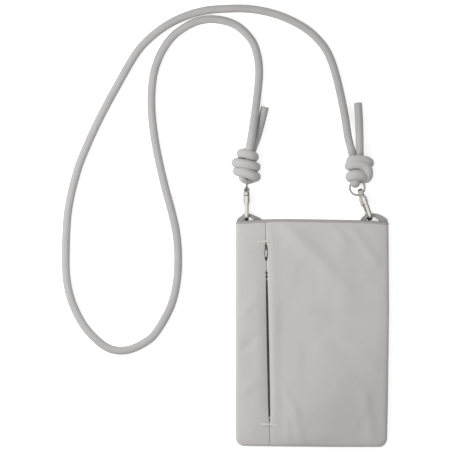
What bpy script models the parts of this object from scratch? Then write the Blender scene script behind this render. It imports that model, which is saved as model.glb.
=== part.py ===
"""Flat zip pouch on a cord strap, lying on its back.

The pouch is a lined fabric sack, open along its top edge, with a slit zip
pocket down the front. A fabric loop stands at each top corner. A snap hook
holds each loop, a split-free ring hangs on each hook's swivel eye, and one
cord is knotted through both rings as a carrying strap.

Frame, in metres: +Y runs from the pouch's base to its mouth, +Z is out of its
front, and the origin is on the surface under the middle of the pouch.
"""
import math

import bmesh
import bpy
from mathutils import Matrix, Vector

MM = 0.001

# Pouch
POUCH_WIDTH = 133.4 * MM
POUCH_LENGTH = 196.4 * MM
POUCH_DEPTH = 15.0 * MM
BASE_CORNER_RADIUS = 5.0 * MM
EDGE_RADIUS = 4.5 * MM
SHELL_WALL = 1.1 * MM
FIT_GAP = 0.3 * MM
CUT_OVERRUN = 2.0 * MM
ROUND_STEPS = 3

# Layers inside the shell
FACING_THICK = 0.4 * MM
LINING_THICK = 0.5 * MM
PLY_THICK = 0.4 * MM
SEAM_TAPE_THICK = 2.4 * MM
SEAM_TAPE_HEIGHT = 5.0 * MM
LOOP_TUCK = 8.0 * MM
HEM_ROLL = 1.3 * MM
HEM_DROP = 12.0 * MM

# Slit zip pocket, measured along the front
SLIT_TOP_INSET = 26.5 * MM
SLIT_BASE_INSET = 29.6 * MM
SLIT_TOP_DROP = 19.2 * MM
SLIT_BASE_RISE = 22.0 * MM
SLIT_WIDTH = 2.6 * MM
TAPE_WIDTH = 10.0 * MM
TAPE_THICK = 0.5 * MM
TAPE_TO_HEM = 1.2 * MM
CHAIN_GAP = 1.0 * MM
COIL_WIDTH = 1.6 * MM
COIL_THICK = 0.9 * MM
POCKET_SIDE_INSET = 22.9 * MM
PLY_OVERLAP = 4.0 * MM
TACK_LENGTH = 13.6 * MM
TACK_WIDTH = 2.2 * MM
TACK_THICK = 0.6 * MM

# Zip slider and pull
SLIDER_LENGTH = 9.0 * MM
SLIDER_WIDTH = 8.0 * MM
SLIDER_PLATE = 0.7 * MM
SLIDER_RIM = 0.7 * MM
SLIDER_WEDGE_WIDTH = 0.4 * MM
SLIDER_WEDGE_LENGTH = 2.0 * MM
SLIDER_TOP_INSET = 4.0 * MM
SLIDER_BASE_INSET = 9.2 * MM
CROWN_THICK = 0.5 * MM
CROWN_LENGTH = 3.0 * MM
CROWN_WALL = 0.3 * MM
PULL_AXIS_RISE = 1.4 * MM
PULL_LENGTH = 7.8 * MM
PULL_WIDTH = 1.8 * MM
PULL_THICK = 1.2 * MM
PULL_PIN_RADIUS = 0.4 * MM
STOP_LENGTH = 2.4 * MM
STOP_WIDTH = 1.6 * MM

# Fabric loops
BAND_THICK = 2.4 * MM
BAND_WIDTH = 3.8 * MM
BAND_STEP = 1.2 * MM
BAND_CORNER_SHARE = 1 / 6
# Points of the loops, as shares of the axis's rise and of half the band's width
LOOP_INNER_FOOT_SHARE = {"left": 2.4, "right": 1.2}
LOOP_OUTER_SHOULDER_SHARES = {"left": (1.7, 0.78), "right": (4.4, 0.90)}
LOOP_INNER_SHOULDER_SHARES = (3.2, 0.75)
LOOP_HEEL_SHARE = 0.2

# Snap hooks: U runs from the loop towards the strap, V from gate to spine
HOOK_WIRE = 2.4 * MM
HOOK_WIRE_BREADTH = 3.3 * MM
BAND_ROOM = 0.45 * MM
NOSE_U = 3.3 * MM
BLOCK_START_U = 10.0 * MM
BLOCK_LENGTH = 6.6 * MM
BLOCK_BREADTH = 5.6 * MM
BLOCK_FRONT_V = 4.2 * MM
BLOCK_BACK_MARGIN = 0.1 * MM
BLOCK_EDGE = 0.6 * MM
SLOT_DEPTH_V = 6.4 * MM
SLOT_HEIGHT_U = 4.0 * MM
GATE_THICK = 2.4 * MM
GATE_PIVOT_INSET_U = 2.2 * MM
GATE_PIVOT_INSET_V = 1.8 * MM
GATE_BAR_MARGIN = 0.4 * MM
GATE_BAR_THICK = 1.6 * MM
GATE_ROOT_INSET_V = 3.1 * MM
GATE_ROOT_BASE_INSET = 0.2 * MM
GATE_ROOT_TOP_INSET = 3.3 * MM
GATE_TAB_RISE = 1.3 * MM
GATE_TAB_DROP = 1.4 * MM
GATE_TAB_TOP_INSET = 5.8 * MM
GATE_CHAMFER = 0.5 * MM
LIP_THICK = 0.8 * MM
LIP_OVERLAP = 0.7 * MM
LIP_SHOULDER = 1.5 * MM
PIN_RADIUS = 0.6 * MM
PIN_HEAD = 0.2 * MM
SPRING_INSET_U = 1.2 * MM
SPRING_MEAN_RADIUS = 0.6 * MM
SPRING_WIRE_RADIUS = 0.15 * MM
SPRING_TURNS = 3
SPRING_STEPS = 9

# Swivel eye and ring
POST_RADIUS = 1.0 * MM
POST_PLAY = 0.4 * MM
HEAD_GRIP = 0.3 * MM
HEAD_THICK = 0.9 * MM
HEAD_PLAY = 0.4 * MM
HEAD_SEAT = 0.4 * MM
COLLAR_RADIUS = 1.9 * MM
COLLAR_THICK = 0.6 * MM
EYE_WIRE_RADIUS = 0.7 * MM
EYE_OPENING_WIDTH = 3.0 * MM
EYE_OPENING_LENGTH = 4.2 * MM
EYE_RISE = 0.4 * MM
RING_RADIUS = 6.55 * MM
RING_WIRE_RADIUS = 0.8 * MM
RING_PLAY = 0.25 * MM

# Cord, knots and tails
CORD_DIAMETER = 7.0 * MM
KNOT_CORD_RADIUS = 3.1 * MM
KNOT_CORE_HALF = 3.2 * MM
KNOT_CORE_RADIUS = 6.55 * MM
KNOT_PITCH = 6.9 * MM
KNOT_WRAPS = 3
KNOT_TILT = math.radians(5.0)
CORD_STEP = 15.0 * MM
WELD_DISTANCE = 0.01 * MM

# Places of the hardware on the strap, left and right
HOOK_INSET = {"left": 9.6 * MM, "right": 17.5 * MM}
HOOK_LEAN = {"left": 0.0, "right": math.radians(19.4)}
HOOK_ROLL = {"left": 0.0, "right": math.radians(14.0)}
EYE_ROLL = {"left": math.radians(90.0), "right": 0.0}
KNOT_SHIFT = {"left": -0.9 * MM, "right": 1.05 * MM}
KNOT_STANDOFF = {"left": 0.85 * MM, "right": 4.7 * MM}
RIGHT_RING_OFFSET_ANGLE = math.radians(33.2)

# The strap's route from knot to knot, its height and the tails' routes
STRAP_LIFT = {"left": 13.6 * MM, "right": 10.1 * MM}
TAIL_LIFT = {"left": 6.2 * MM, "right": 10.1 * MM}
SETTLE_LENGTH = 55.0 * MM
CORD_REST = 0.3 * MM
ROUTE_MM = [
    (-54.5, 159.2), (-52.7, 169.0), (-50.6, 182.9), (-48.7, 196.9), (-47.1, 210.8),
    (-46.1, 224.7), (-47.5, 238.6), (-52.7, 252.5), (-65.9, 265.3), (-83.7, 270.6),
    (-101.1, 268.6), (-118.5, 258.5), (-129.2, 245.6), (-135.6, 231.7), (-138.9, 217.7),
    (-140.0, 200.3), (-139.2, 182.9), (-135.4, 156.8), (-128.4, 125.5), (-122.7, 104.6),
    (-118.2, 83.8), (-116.7, 62.9), (-117.9, 42.0), (-123.0, 21.1), (-134.4, 0.2),
    (-144.6, -10.0), (-162.0, -17.5), (-179.4, -14.7), (-196.8, 1.3), (-207.8, 21.1),
    (-213.5, 42.0), (-214.6, 68.1), (-212.5, 104.6), (-205.4, 136.0), (-197.8, 156.8),
    (-185.9, 182.9), (-171.0, 210.8), (-155.0, 238.6), (-143.5, 252.5), (-127.2, 265.3),
    (-109.8, 273.8), (-92.4, 278.5), (-75.0, 279.9), (-57.6, 280.0), (-40.2, 277.4),
    (-22.8, 271.9), (-5.4, 262.5), (6.8, 251.4), (15.1, 238.6), (21.9, 217.7),
    (27.8, 189.9), (31.0, 169.0), (33.4, 159.0),
]
TAIL_ROUTE_MM = {
    "left": [(-51.2, 159.2), (-47.6, 169.0), (-44.6, 180.0), (-41.0, 194.2)],
    "right": [(41.2, 159.0), (41.1, 171.0), (40.7, 184.0), (40.0, 197.8)],
}

# What the sizes above fix
HALF_WIDTH = POUCH_WIDTH / 2
HOOK_X = {"left": -HALF_WIDTH + HOOK_INSET["left"], "right": HALF_WIDTH - HOOK_INSET["right"]}
BEND_INNER_RADIUS = math.hypot(BAND_THICK, BAND_WIDTH) / 2 + BAND_ROOM
BEND_RADIUS = BEND_INNER_RADIUS + HOOK_WIRE / 2
HOOK_REACH = BEND_INNER_RADIUS + HOOK_WIRE
LOOP_AXIS_RISE = HOOK_REACH + FIT_GAP
LOOP_HEIGHT = LOOP_AXIS_RISE + BAND_THICK / 2
MOUTH_Y = (POUCH_LENGTH - LOOP_HEIGHT) / 2
BASE_Y = MOUTH_Y - POUCH_LENGTH
AXIS_Y = MOUTH_Y + LOOP_AXIS_RISE
MID_Z = POUCH_DEPTH / 2
CORD_RADIUS = CORD_DIAMETER / 2

INNER_TOP_Z = POUCH_DEPTH - SHELL_WALL
SLIDER_TOP_Z = INNER_TOP_Z - FIT_GAP
FACING_TOP_Z = SLIDER_TOP_Z
TAPE_TOP_Z = SLIDER_TOP_Z - SLIDER_PLATE - FIT_GAP
TAPE_BASE_Z = TAPE_TOP_Z - TAPE_THICK
COIL_TOP_Z = TAPE_BASE_Z - FIT_GAP
COIL_BASE_Z = COIL_TOP_Z - COIL_THICK
SLIDER_BASE_Z = COIL_BASE_Z - FIT_GAP - SLIDER_PLATE
PLY_BACK_TOP_Z = SLIDER_BASE_Z - FIT_GAP
LINING_TOP_Z = PLY_BACK_TOP_Z - PLY_THICK - FIT_GAP
BACK_FACING_BASE_Z = SHELL_WALL + FIT_GAP
LINING_BASE_Z = BACK_FACING_BASE_Z + FACING_THICK + FIT_GAP
SIDE_SPACE = SHELL_WALL + FIT_GAP + SEAM_TAPE_THICK + FIT_GAP
HEM_BASE_Y = MOUTH_Y - HEM_ROLL

SLIT_TOP = Vector((-HALF_WIDTH + SLIT_TOP_INSET, MOUTH_Y - SLIT_TOP_DROP, 0.0))
SLIT_BASE = Vector((-HALF_WIDTH + SLIT_BASE_INSET, BASE_Y + SLIT_BASE_RISE, 0.0))
SLIT_HALF = (SLIT_TOP - SLIT_BASE).length / 2
SLIT_LEAN = math.atan2(SLIT_BASE.x - SLIT_TOP.x, SLIT_TOP.y - SLIT_BASE.y)
ZIP_FRAME = Matrix.Translation((SLIT_TOP + SLIT_BASE) / 2) @ Matrix.Rotation(SLIT_LEAN, 4, "Z")
SLIDER_REST = SLIT_HALF - SLIDER_TOP_INSET
SLIDER_END = -SLIT_HALF + SLIDER_BASE_INSET
TAPE_EXTRA = SLIT_TOP_DROP - HEM_DROP - TAPE_TO_HEM
CROWN_BORE_RADIUS = PULL_PIN_RADIUS + FIT_GAP
CROWN_RISE = PULL_AXIS_RISE + CROWN_BORE_RADIUS + CROWN_WALL
PULL_AXIS_Z = SLIDER_TOP_Z + PULL_AXIS_RISE

BLOCK_TOP_U = BLOCK_START_U + BLOCK_LENGTH
SLOT_TOP_U = BLOCK_START_U + SLOT_HEIGHT_U
GATE_PIVOT_U = BLOCK_START_U + GATE_PIVOT_INSET_U
GATE_PIVOT_V = -BLOCK_FRONT_V + GATE_PIVOT_INSET_V
GATE_BAR_INNER_V = -(BEND_INNER_RADIUS + GATE_BAR_MARGIN)
GATE_BAR_OUTER_V = GATE_BAR_INNER_V - GATE_BAR_THICK
GATE_ROOT_INNER_V = -BLOCK_FRONT_V + GATE_ROOT_INSET_V
GATE_ROOT_BASE_U = BLOCK_START_U + GATE_ROOT_BASE_INSET
GATE_ROOT_TOP_U = BLOCK_START_U + GATE_ROOT_TOP_INSET
GATE_TAB_OUTER_V = GATE_BAR_OUTER_V - GATE_TAB_RISE
GATE_TAB_BASE_U = BLOCK_START_U - GATE_TAB_DROP
GATE_TAB_TOP_U = BLOCK_START_U + GATE_TAB_TOP_INSET
LIP_TIP_U = NOSE_U - LIP_OVERLAP
LIP_TOP_U = NOSE_U + LIP_SHOULDER
SPRING_U = BLOCK_START_U + SPRING_INSET_U

BORE_RADIUS = POST_RADIUS + POST_PLAY
HEAD_RADIUS = BORE_RADIUS + HEAD_GRIP
CAVITY_RADIUS = HEAD_RADIUS + HEAD_PLAY
CAVITY_LENGTH = HEAD_SEAT + HEAD_THICK + FIT_GAP
BORE_BASE_U = BLOCK_TOP_U - CAVITY_LENGTH
COLLAR_BASE_U = BLOCK_TOP_U + FIT_GAP
EYE_CENTRE_BASE_U = BLOCK_TOP_U + EYE_RISE + EYE_WIRE_RADIUS
EYE_OPENING_BASE_U = EYE_CENTRE_BASE_U + EYE_WIRE_RADIUS
EYE_OPENING_TOP_U = EYE_OPENING_BASE_U + EYE_OPENING_LENGTH
RING_OUTER_RADIUS = RING_RADIUS + RING_WIRE_RADIUS

KNOT_OUTER_DEPTH = 2 * (KNOT_CORE_RADIUS + KNOT_CORD_RADIUS)
KNOT_Z = KNOT_OUTER_DEPTH / 2 + CORD_REST
KNOT_HEIGHT = KNOT_PITCH * KNOT_WRAPS
BIGHT_RADIUS = RING_WIRE_RADIUS + FIT_GAP + KNOT_CORD_RADIUS


def remove_scene_objects():
    """Start from an empty scene."""
    for scene_object in list(bpy.data.objects):
        bpy.data.objects.remove(scene_object, do_unlink=True)


def make_collection(name):
    """Make a collection in the scene."""
    collection = bpy.data.collections.new(name)
    bpy.context.scene.collection.children.link(collection)
    return collection


def make_material(name, colour, roughness, metallic=0.0):
    """Make a Principled material."""
    material = bpy.data.materials.new(name)
    material.use_nodes = True
    shader = material.node_tree.nodes["Principled BSDF"]
    shader.inputs["Base Color"].default_value = (*colour, 1.0)
    shader.inputs["Roughness"].default_value = roughness
    shader.inputs["Metallic"].default_value = metallic
    return material


remove_scene_objects()
PARTS = make_collection("accessory_pouch")
CUTTERS = make_collection("cutters")
SHELL_CLOTH = make_material("shell_cloth", (0.50, 0.48, 0.47), 0.80)
LINING_CLOTH = make_material("lining_cloth", (0.42, 0.41, 0.40), 0.85)
THREAD = make_material("thread", (0.60, 0.59, 0.57), 0.80)
ZIP_CLOTH = make_material("zip_cloth", (0.22, 0.22, 0.22), 0.85)
ZIP_METAL = make_material("zip_metal", (0.60, 0.58, 0.55), 0.30, 1.0)
NICKEL = make_material("nickel", (0.72, 0.70, 0.66), 0.18, 1.0)
SPRING_STEEL = make_material("spring_steel", (0.55, 0.55, 0.56), 0.30, 1.0)
CORD_CLOTH = make_material("cord_cloth", (0.42, 0.42, 0.41), 0.85)


def link_piece(piece, material, parent=None):
    """Put a finished piece in the pouch's collection."""
    piece.data.materials.clear()
    piece.data.materials.append(material)
    PARTS.objects.link(piece)
    piece.parent = parent
    return piece


def link_cutter(cutter, parent=None):
    """Put a cutter in its own collection, hidden from renders."""
    CUTTERS.objects.link(cutter)
    cutter.hide_render = True
    cutter.display_type = "WIRE"
    cutter.parent = parent
    return cutter


def apply_boolean(piece, cutter, operation="DIFFERENCE", solver="EXACT"):
    """Cut a piece with a cutter, or join the two."""
    modifier = piece.modifiers.new(cutter.name, "BOOLEAN")
    modifier.object = cutter
    modifier.operation = operation
    modifier.solver = solver


def mesh_object(name, mesh_builder):
    """Make an object from a bmesh."""
    mesh = bpy.data.meshes.new(name)
    mesh_builder.to_mesh(mesh)
    mesh_builder.free()
    return bpy.data.objects.new(name, mesh)


def box(name, low, high):
    """A box from its lowest to its highest corner."""
    builder = bmesh.new()
    bmesh.ops.create_cube(builder, size=1.0)
    size = Vector(high) - Vector(low)
    centre = (Vector(high) + Vector(low)) / 2
    bmesh.ops.scale(builder, vec=size, verts=builder.verts)
    bmesh.ops.translate(builder, vec=centre, verts=builder.verts)
    return mesh_object(name, builder)


def soft_box(name, low, high, radius):
    """A box whose edges are all rounded."""
    piece = box(name, low, high)
    bevel = piece.modifiers.new("edges", "BEVEL")
    bevel.width = radius
    bevel.segments = 2
    return piece


def cylinder(name, radius, start, end, sides=20):
    """A cylinder between two points."""
    builder = bmesh.new()
    run = Vector(end) - Vector(start)
    bmesh.ops.create_cone(builder, cap_ends=True, segments=sides, radius1=radius,
                          radius2=radius, depth=run.length)
    turn = run.to_track_quat("Z", "Y").to_matrix().to_4x4()
    place = Matrix.Translation((Vector(start) + Vector(end)) / 2) @ turn
    bmesh.ops.transform(builder, matrix=place, verts=builder.verts)
    return mesh_object(name, builder)


def evaluated_mesh(curve_object):
    """Turn a curve object into a mesh object with its caps welded."""
    bpy.context.scene.collection.objects.link(curve_object)
    bpy.context.view_layer.update()
    graph = bpy.context.evaluated_depsgraph_get()
    mesh = bpy.data.meshes.new_from_object(curve_object.evaluated_get(graph))
    builder = bmesh.new()
    builder.from_mesh(mesh)
    bmesh.ops.remove_doubles(builder, verts=builder.verts, dist=WELD_DISTANCE)
    bmesh.ops.recalc_face_normals(builder, faces=builder.faces)
    builder.to_mesh(mesh)
    builder.free()
    name = curve_object.name
    bpy.data.objects.remove(curve_object, do_unlink=True)
    return bpy.data.objects.new(name, mesh)


def plate(name, outline, low_z, high_z):
    """A flat outline in X and Y, given a thickness along Z."""
    curve = bpy.data.curves.new(name, "CURVE")
    curve.dimensions = "2D"
    curve.fill_mode = "BOTH"
    spline = curve.splines.new("POLY")
    spline.points.add(len(outline) - 1)
    for point, (x, y) in zip(spline.points, outline):
        point.co = (x, y, 0.0, 1.0)
    spline.use_cyclic_u = True
    curve.extrude = (high_z - low_z) / 2
    piece = evaluated_mesh(bpy.data.objects.new(name, curve))
    piece.data.transform(Matrix.Translation((0.0, 0.0, (low_z + high_z) / 2)))
    return piece


def tube(name, points, radius, resolution=2, closed=False):
    """A round tube along points."""
    curve = bpy.data.curves.new(name, "CURVE")
    curve.dimensions = "3D"
    curve.bevel_depth = radius
    curve.bevel_resolution = resolution
    curve.use_fill_caps = not closed
    spline = curve.splines.new("POLY")
    spline.points.add(len(points) - 1)
    for point, place in zip(spline.points, points):
        point.co = (*place, 1.0)
    spline.use_cyclic_u = closed
    return evaluated_mesh(bpy.data.objects.new(name, curve))


def arc(centre, radius, start_degrees, end_degrees, steps):
    """Points of an arc in a plane."""
    points = []
    for step in range(steps + 1):
        angle = math.radians(start_degrees + (end_degrees - start_degrees) * step / steps)
        points.append((centre[0] + radius * math.cos(angle), centre[1] + radius * math.sin(angle)))
    return points


def smooth_curve(points, samples=12):
    """Fine points of a smooth curve through the given points."""
    places = [Vector(point) for point in points]
    padded = [2 * places[0] - places[1]] + places + [2 * places[-1] - places[-2]]
    fine = []
    for index in range(1, len(padded) - 2):
        before, start, end, after = padded[index - 1:index + 3]
        for sample in range(samples):
            t = sample / samples
            fine.append(0.5 * (2 * start + (end - before) * t
                               + (2 * before - 5 * start + 4 * end - after) * t ** 2
                               + (3 * start - before - 3 * end + after) * t ** 3))
    fine.append(places[-1])
    return fine


def even_points(fine, step):
    """Points at an even distance along a fine line."""
    lengths = [0.0]
    for start, end in zip(fine, fine[1:]):
        lengths.append(lengths[-1] + (end - start).length)
    count = max(2, round(lengths[-1] / step))
    points = []
    index = 0
    for number in range(count + 1):
        target = lengths[-1] * number / count
        while index < len(fine) - 2 and lengths[index + 1] < target:
            index += 1
        share = (target - lengths[index]) / max(lengths[index + 1] - lengths[index], 1e-12)
        points.append(fine[index].lerp(fine[index + 1], share))
    return points


def rounded_slab(name, inset, low_z, high_z, open_end):
    """The pouch's outline, inset, with rounded base corners and long edges."""
    half_width = HALF_WIDTH - inset
    base_y = BASE_Y + inset
    builder = bmesh.new()
    bmesh.ops.create_cube(builder, size=1.0)
    bmesh.ops.scale(builder, vec=(2 * half_width, open_end - base_y, high_z - low_z),
                    verts=builder.verts)
    centre = (0.0, (open_end + base_y) / 2, (low_z + high_z) / 2)
    bmesh.ops.translate(builder, vec=centre, verts=builder.verts)
    middle_y = centre[1]
    uprights = [edge for edge in builder.edges
                if all(vert.co.y < middle_y for vert in edge.verts)
                and abs(edge.verts[0].co.z - edge.verts[1].co.z) > (high_z - low_z) / 2]
    bmesh.ops.bevel(builder, geom=uprights, offset=max(BASE_CORNER_RADIUS - inset, FIT_GAP),
                    segments=ROUND_STEPS, profile=0.5, affect="EDGES")
    long_edges = [edge for edge in builder.edges
                  if abs(edge.verts[0].co.z - edge.verts[1].co.z) < FIT_GAP / 2
                  and not all(vert.co.y > open_end - FIT_GAP for vert in edge.verts)]
    bmesh.ops.bevel(builder, geom=long_edges, offset=max(EDGE_RADIUS - inset, FIT_GAP),
                    segments=ROUND_STEPS, profile=0.5, affect="EDGES")
    return mesh_object(name, builder)


def seam_line(side, offset_seam, offset_slit):
    """The front's seam and slit edge, from above the mouth to below the base."""
    across = Vector((math.cos(SLIT_LEAN), math.sin(SLIT_LEAN), 0.0)) * side
    along = Vector((-math.sin(SLIT_LEAN), math.cos(SLIT_LEAN), 0.0))
    top = SLIT_TOP + along * (SLIT_TOP_DROP + CUT_OVERRUN)
    base = SLIT_BASE - along * (SLIT_BASE_RISE + CUT_OVERRUN)
    places = [top + across * offset_seam, SLIT_TOP + across * offset_seam,
              SLIT_TOP + across * offset_slit, SLIT_BASE + across * offset_slit,
              SLIT_BASE + across * offset_seam, base + across * offset_seam]
    return [(place.x, place.y) for place in places]


def make_shell():
    """Back panel, and the two front panels that the slit parts."""
    split_z = MID_Z
    cavity = link_cutter(rounded_slab("shell_cavity", SHELL_WALL, SHELL_WALL, INNER_TOP_Z,
                                      HEM_BASE_Y + CUT_OVERRUN))
    reach = HALF_WIDTH + CUT_OVERRUN
    above = link_cutter(box("above_split", (-reach, BASE_Y - CUT_OVERRUN, split_z - FIT_GAP / 2),
                            (reach, MOUTH_Y + CUT_OVERRUN, POUCH_DEPTH + CUT_OVERRUN)))
    below = link_cutter(box("below_split", (-reach, BASE_Y - CUT_OVERRUN, -CUT_OVERRUN),
                            (reach, MOUTH_Y + CUT_OVERRUN, split_z + FIT_GAP / 2)))
    back = rounded_slab("back_panel", 0.0, 0.0, POUCH_DEPTH, HEM_BASE_Y)
    apply_boolean(back, cavity)
    apply_boolean(back, above)
    link_piece(back, SHELL_CLOTH)

    for name, side in (("front_panel_wide", 1), ("front_panel_narrow", -1)):
        panel = rounded_slab(name, 0.0, 0.0, POUCH_DEPTH, HEM_BASE_Y)
        edge = seam_line(side, FIT_GAP / 2, SLIT_WIDTH / 2)
        far_x = -side * reach
        outline = edge + [(far_x, BASE_Y - CUT_OVERRUN), (far_x, MOUTH_Y + CUT_OVERRUN)]
        cutter = link_cutter(plate(name + "_split", outline, -CUT_OVERRUN,
                                   POUCH_DEPTH + CUT_OVERRUN))
        apply_boolean(panel, cavity)
        apply_boolean(panel, below)
        apply_boolean(panel, cutter)
        link_piece(panel, SHELL_CLOTH)


def make_seam_tape():
    """The bound seam allowance inside the sides and the base."""
    outer = SHELL_WALL + FIT_GAP
    inner = outer + SEAM_TAPE_THICK
    low_z = MID_Z - SEAM_TAPE_HEIGHT / 2
    high_z = MID_Z + SEAM_TAPE_HEIGHT / 2
    top_y = HEM_BASE_Y - LOOP_TUCK - FIT_GAP
    outer_radius = BASE_CORNER_RADIUS - outer
    outer_x = HALF_WIDTH - outer
    outer_y = BASE_Y + outer
    inner_x = HALF_WIDTH - inner
    inner_y = BASE_Y + inner
    outline = [(-outer_x, top_y)]
    outline += arc((-outer_x + outer_radius, outer_y + outer_radius), outer_radius, 180, 270, 4)
    outline += arc((outer_x - outer_radius, outer_y + outer_radius), outer_radius, 270, 360, 4)
    outline += [(outer_x, top_y), (inner_x, top_y), (inner_x, inner_y),
                (-inner_x, inner_y), (-inner_x, top_y)]
    link_piece(plate("seam_binding", outline, low_z, high_z), LINING_CLOTH)


def make_lining():
    """The lining sack, open at the mouth."""
    half_width = HALF_WIDTH - SIDE_SPACE
    low_y = BASE_Y + SIDE_SPACE
    top_y = HEM_BASE_Y - FIT_GAP
    sack = box("lining_sack", (-half_width, low_y, LINING_BASE_Z), (half_width, top_y, LINING_TOP_Z))
    hollow = link_cutter(box("lining_hollow",
                             (-half_width + LINING_THICK, low_y + LINING_THICK,
                              LINING_BASE_Z + LINING_THICK),
                             (half_width - LINING_THICK, top_y + CUT_OVERRUN,
                              LINING_TOP_Z - LINING_THICK)))
    apply_boolean(sack, hollow)
    link_piece(sack, LINING_CLOTH)


def extrude_along_x(name, outline, low_x, high_x):
    """A Y and Z outline, extruded along X."""
    piece = plate(name, outline, low_x, high_x)
    turn = Matrix(((0.0, 0.0, 1.0, 0.0), (1.0, 0.0, 0.0, 0.0),
                   (0.0, 1.0, 0.0, 0.0), (0.0, 0.0, 0.0, 1.0)))
    piece.data.transform(turn)
    return piece


def make_hems():
    """The rolled hems that cap the front and the back at the mouth."""
    roll_base = HEM_BASE_Y + FIT_GAP
    leg_top = FACING_TOP_Z
    leg_base = leg_top - FACING_THICK
    front_base = LINING_TOP_Z - LINING_THICK
    half_width = HALF_WIDTH - SIDE_SPACE
    leg_end = MOUTH_Y - HEM_DROP
    front = [(roll_base, front_base), (MOUTH_Y, front_base), (MOUTH_Y, POUCH_DEPTH),
             (roll_base, POUCH_DEPTH), (roll_base, leg_top), (leg_end, leg_top),
             (leg_end, leg_base), (roll_base, leg_base)]
    link_piece(extrude_along_x("front_hem", front, -half_width, half_width), SHELL_CLOTH)
    back_leg_top = BACK_FACING_BASE_Z + FACING_THICK
    lining_inner = LINING_BASE_Z + LINING_THICK
    back = [(roll_base, 0.0), (MOUTH_Y, 0.0), (MOUTH_Y, lining_inner), (roll_base, lining_inner),
            (roll_base, back_leg_top), (leg_end, back_leg_top), (leg_end, BACK_FACING_BASE_Z),
            (roll_base, BACK_FACING_BASE_Z)]
    link_piece(extrude_along_x("back_hem", back, -half_width, half_width), SHELL_CLOTH)


def make_zip():
    """Facings, tapes, chain, stops and bar tacks, in the slit's own frame."""
    frame = bpy.data.objects.new("zip_frame", None)
    PARTS.objects.link(frame)
    frame.matrix_world = ZIP_FRAME
    tape_end = SLIT_HALF + TAPE_EXTRA
    facing_inner = SLIDER_WIDTH / 2 + FIT_GAP
    tape_inner = CHAIN_GAP / 2
    tape_outer = tape_inner + TAPE_WIDTH
    coil_base = SLIDER_END - SLIDER_LENGTH / 2 + FIT_GAP
    coil_top = SLIDER_REST + SLIDER_LENGTH / 2 - SLIDER_WEDGE_LENGTH - FIT_GAP
    stop_base = SLIDER_REST + SLIDER_LENGTH / 2 + FIT_GAP
    for name, side in (("left", -1), ("right", 1)):
        def across(near, far):
            return (min(side * near, side * far), max(side * near, side * far))
        low, high = across(facing_inner, tape_outer)
        facing = box("slit_facing_" + name, (low, -tape_end, TAPE_TOP_Z + FIT_GAP),
                     (high, tape_end, FACING_TOP_Z))
        link_piece(facing, SHELL_CLOTH, frame)
        low, high = across(tape_inner, tape_outer)
        tape = box("zip_tape_" + name, (low, -tape_end, TAPE_BASE_Z), (high, tape_end, TAPE_TOP_Z))
        link_piece(tape, ZIP_CLOTH, frame)
        low, high = across(tape_inner, tape_inner + COIL_WIDTH)
        coil = box("zip_coil_" + name, (low, coil_base, COIL_BASE_Z), (high, coil_top, COIL_TOP_Z))
        link_piece(coil, ZIP_CLOTH, frame)
        low, high = across(tape_inner, tape_inner + STOP_WIDTH)
        stop = box("zip_top_stop_" + name, (low, stop_base, COIL_BASE_Z),
                   (high, stop_base + STOP_LENGTH, COIL_TOP_Z))
        link_piece(stop, ZIP_METAL, frame)
    stop_half = tape_inner + STOP_WIDTH
    stop_top = coil_base - FIT_GAP
    bottom = box("zip_bottom_stop", (-stop_half, stop_top - STOP_LENGTH, COIL_BASE_Z),
                 (stop_half, stop_top, COIL_TOP_Z))
    link_piece(bottom, ZIP_METAL, frame)
    tack_base_z = POUCH_DEPTH + FIT_GAP
    for name, place in (("top", SLIT_HALF), ("bottom", -SLIT_HALF - TACK_WIDTH)):
        tack = soft_box("bar_tack_" + name, (-TACK_LENGTH / 2, place, tack_base_z),
                        (TACK_LENGTH / 2, place + TACK_WIDTH, tack_base_z + TACK_THICK),
                        TACK_THICK / 3)
        link_piece(tack, THREAD, frame)


def make_pocket():
    """The zip pocket's two plies, lying together behind the front panel."""
    left_x = min(SLIT_TOP.x, SLIT_BASE.x) - TAPE_WIDTH
    right_x = HALF_WIDTH - POCKET_SIDE_INSET
    top_y = HEM_BASE_Y - FIT_GAP
    low_y = BASE_Y + SIDE_SPACE
    back = box("pocket_ply_back", (left_x, low_y, PLY_BACK_TOP_Z - PLY_THICK),
               (right_x, top_y, PLY_BACK_TOP_Z))
    link_piece(back, LINING_CLOTH)
    front_left_x = max(SLIT_TOP.x, SLIT_BASE.x) + TAPE_WIDTH - PLY_OVERLAP
    front_top_z = TAPE_BASE_Z - FIT_GAP
    front = box("pocket_ply_front", (front_left_x, low_y, front_top_z - PLY_THICK),
                (right_x, top_y, front_top_z))
    link_piece(front, LINING_CLOTH)


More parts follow.
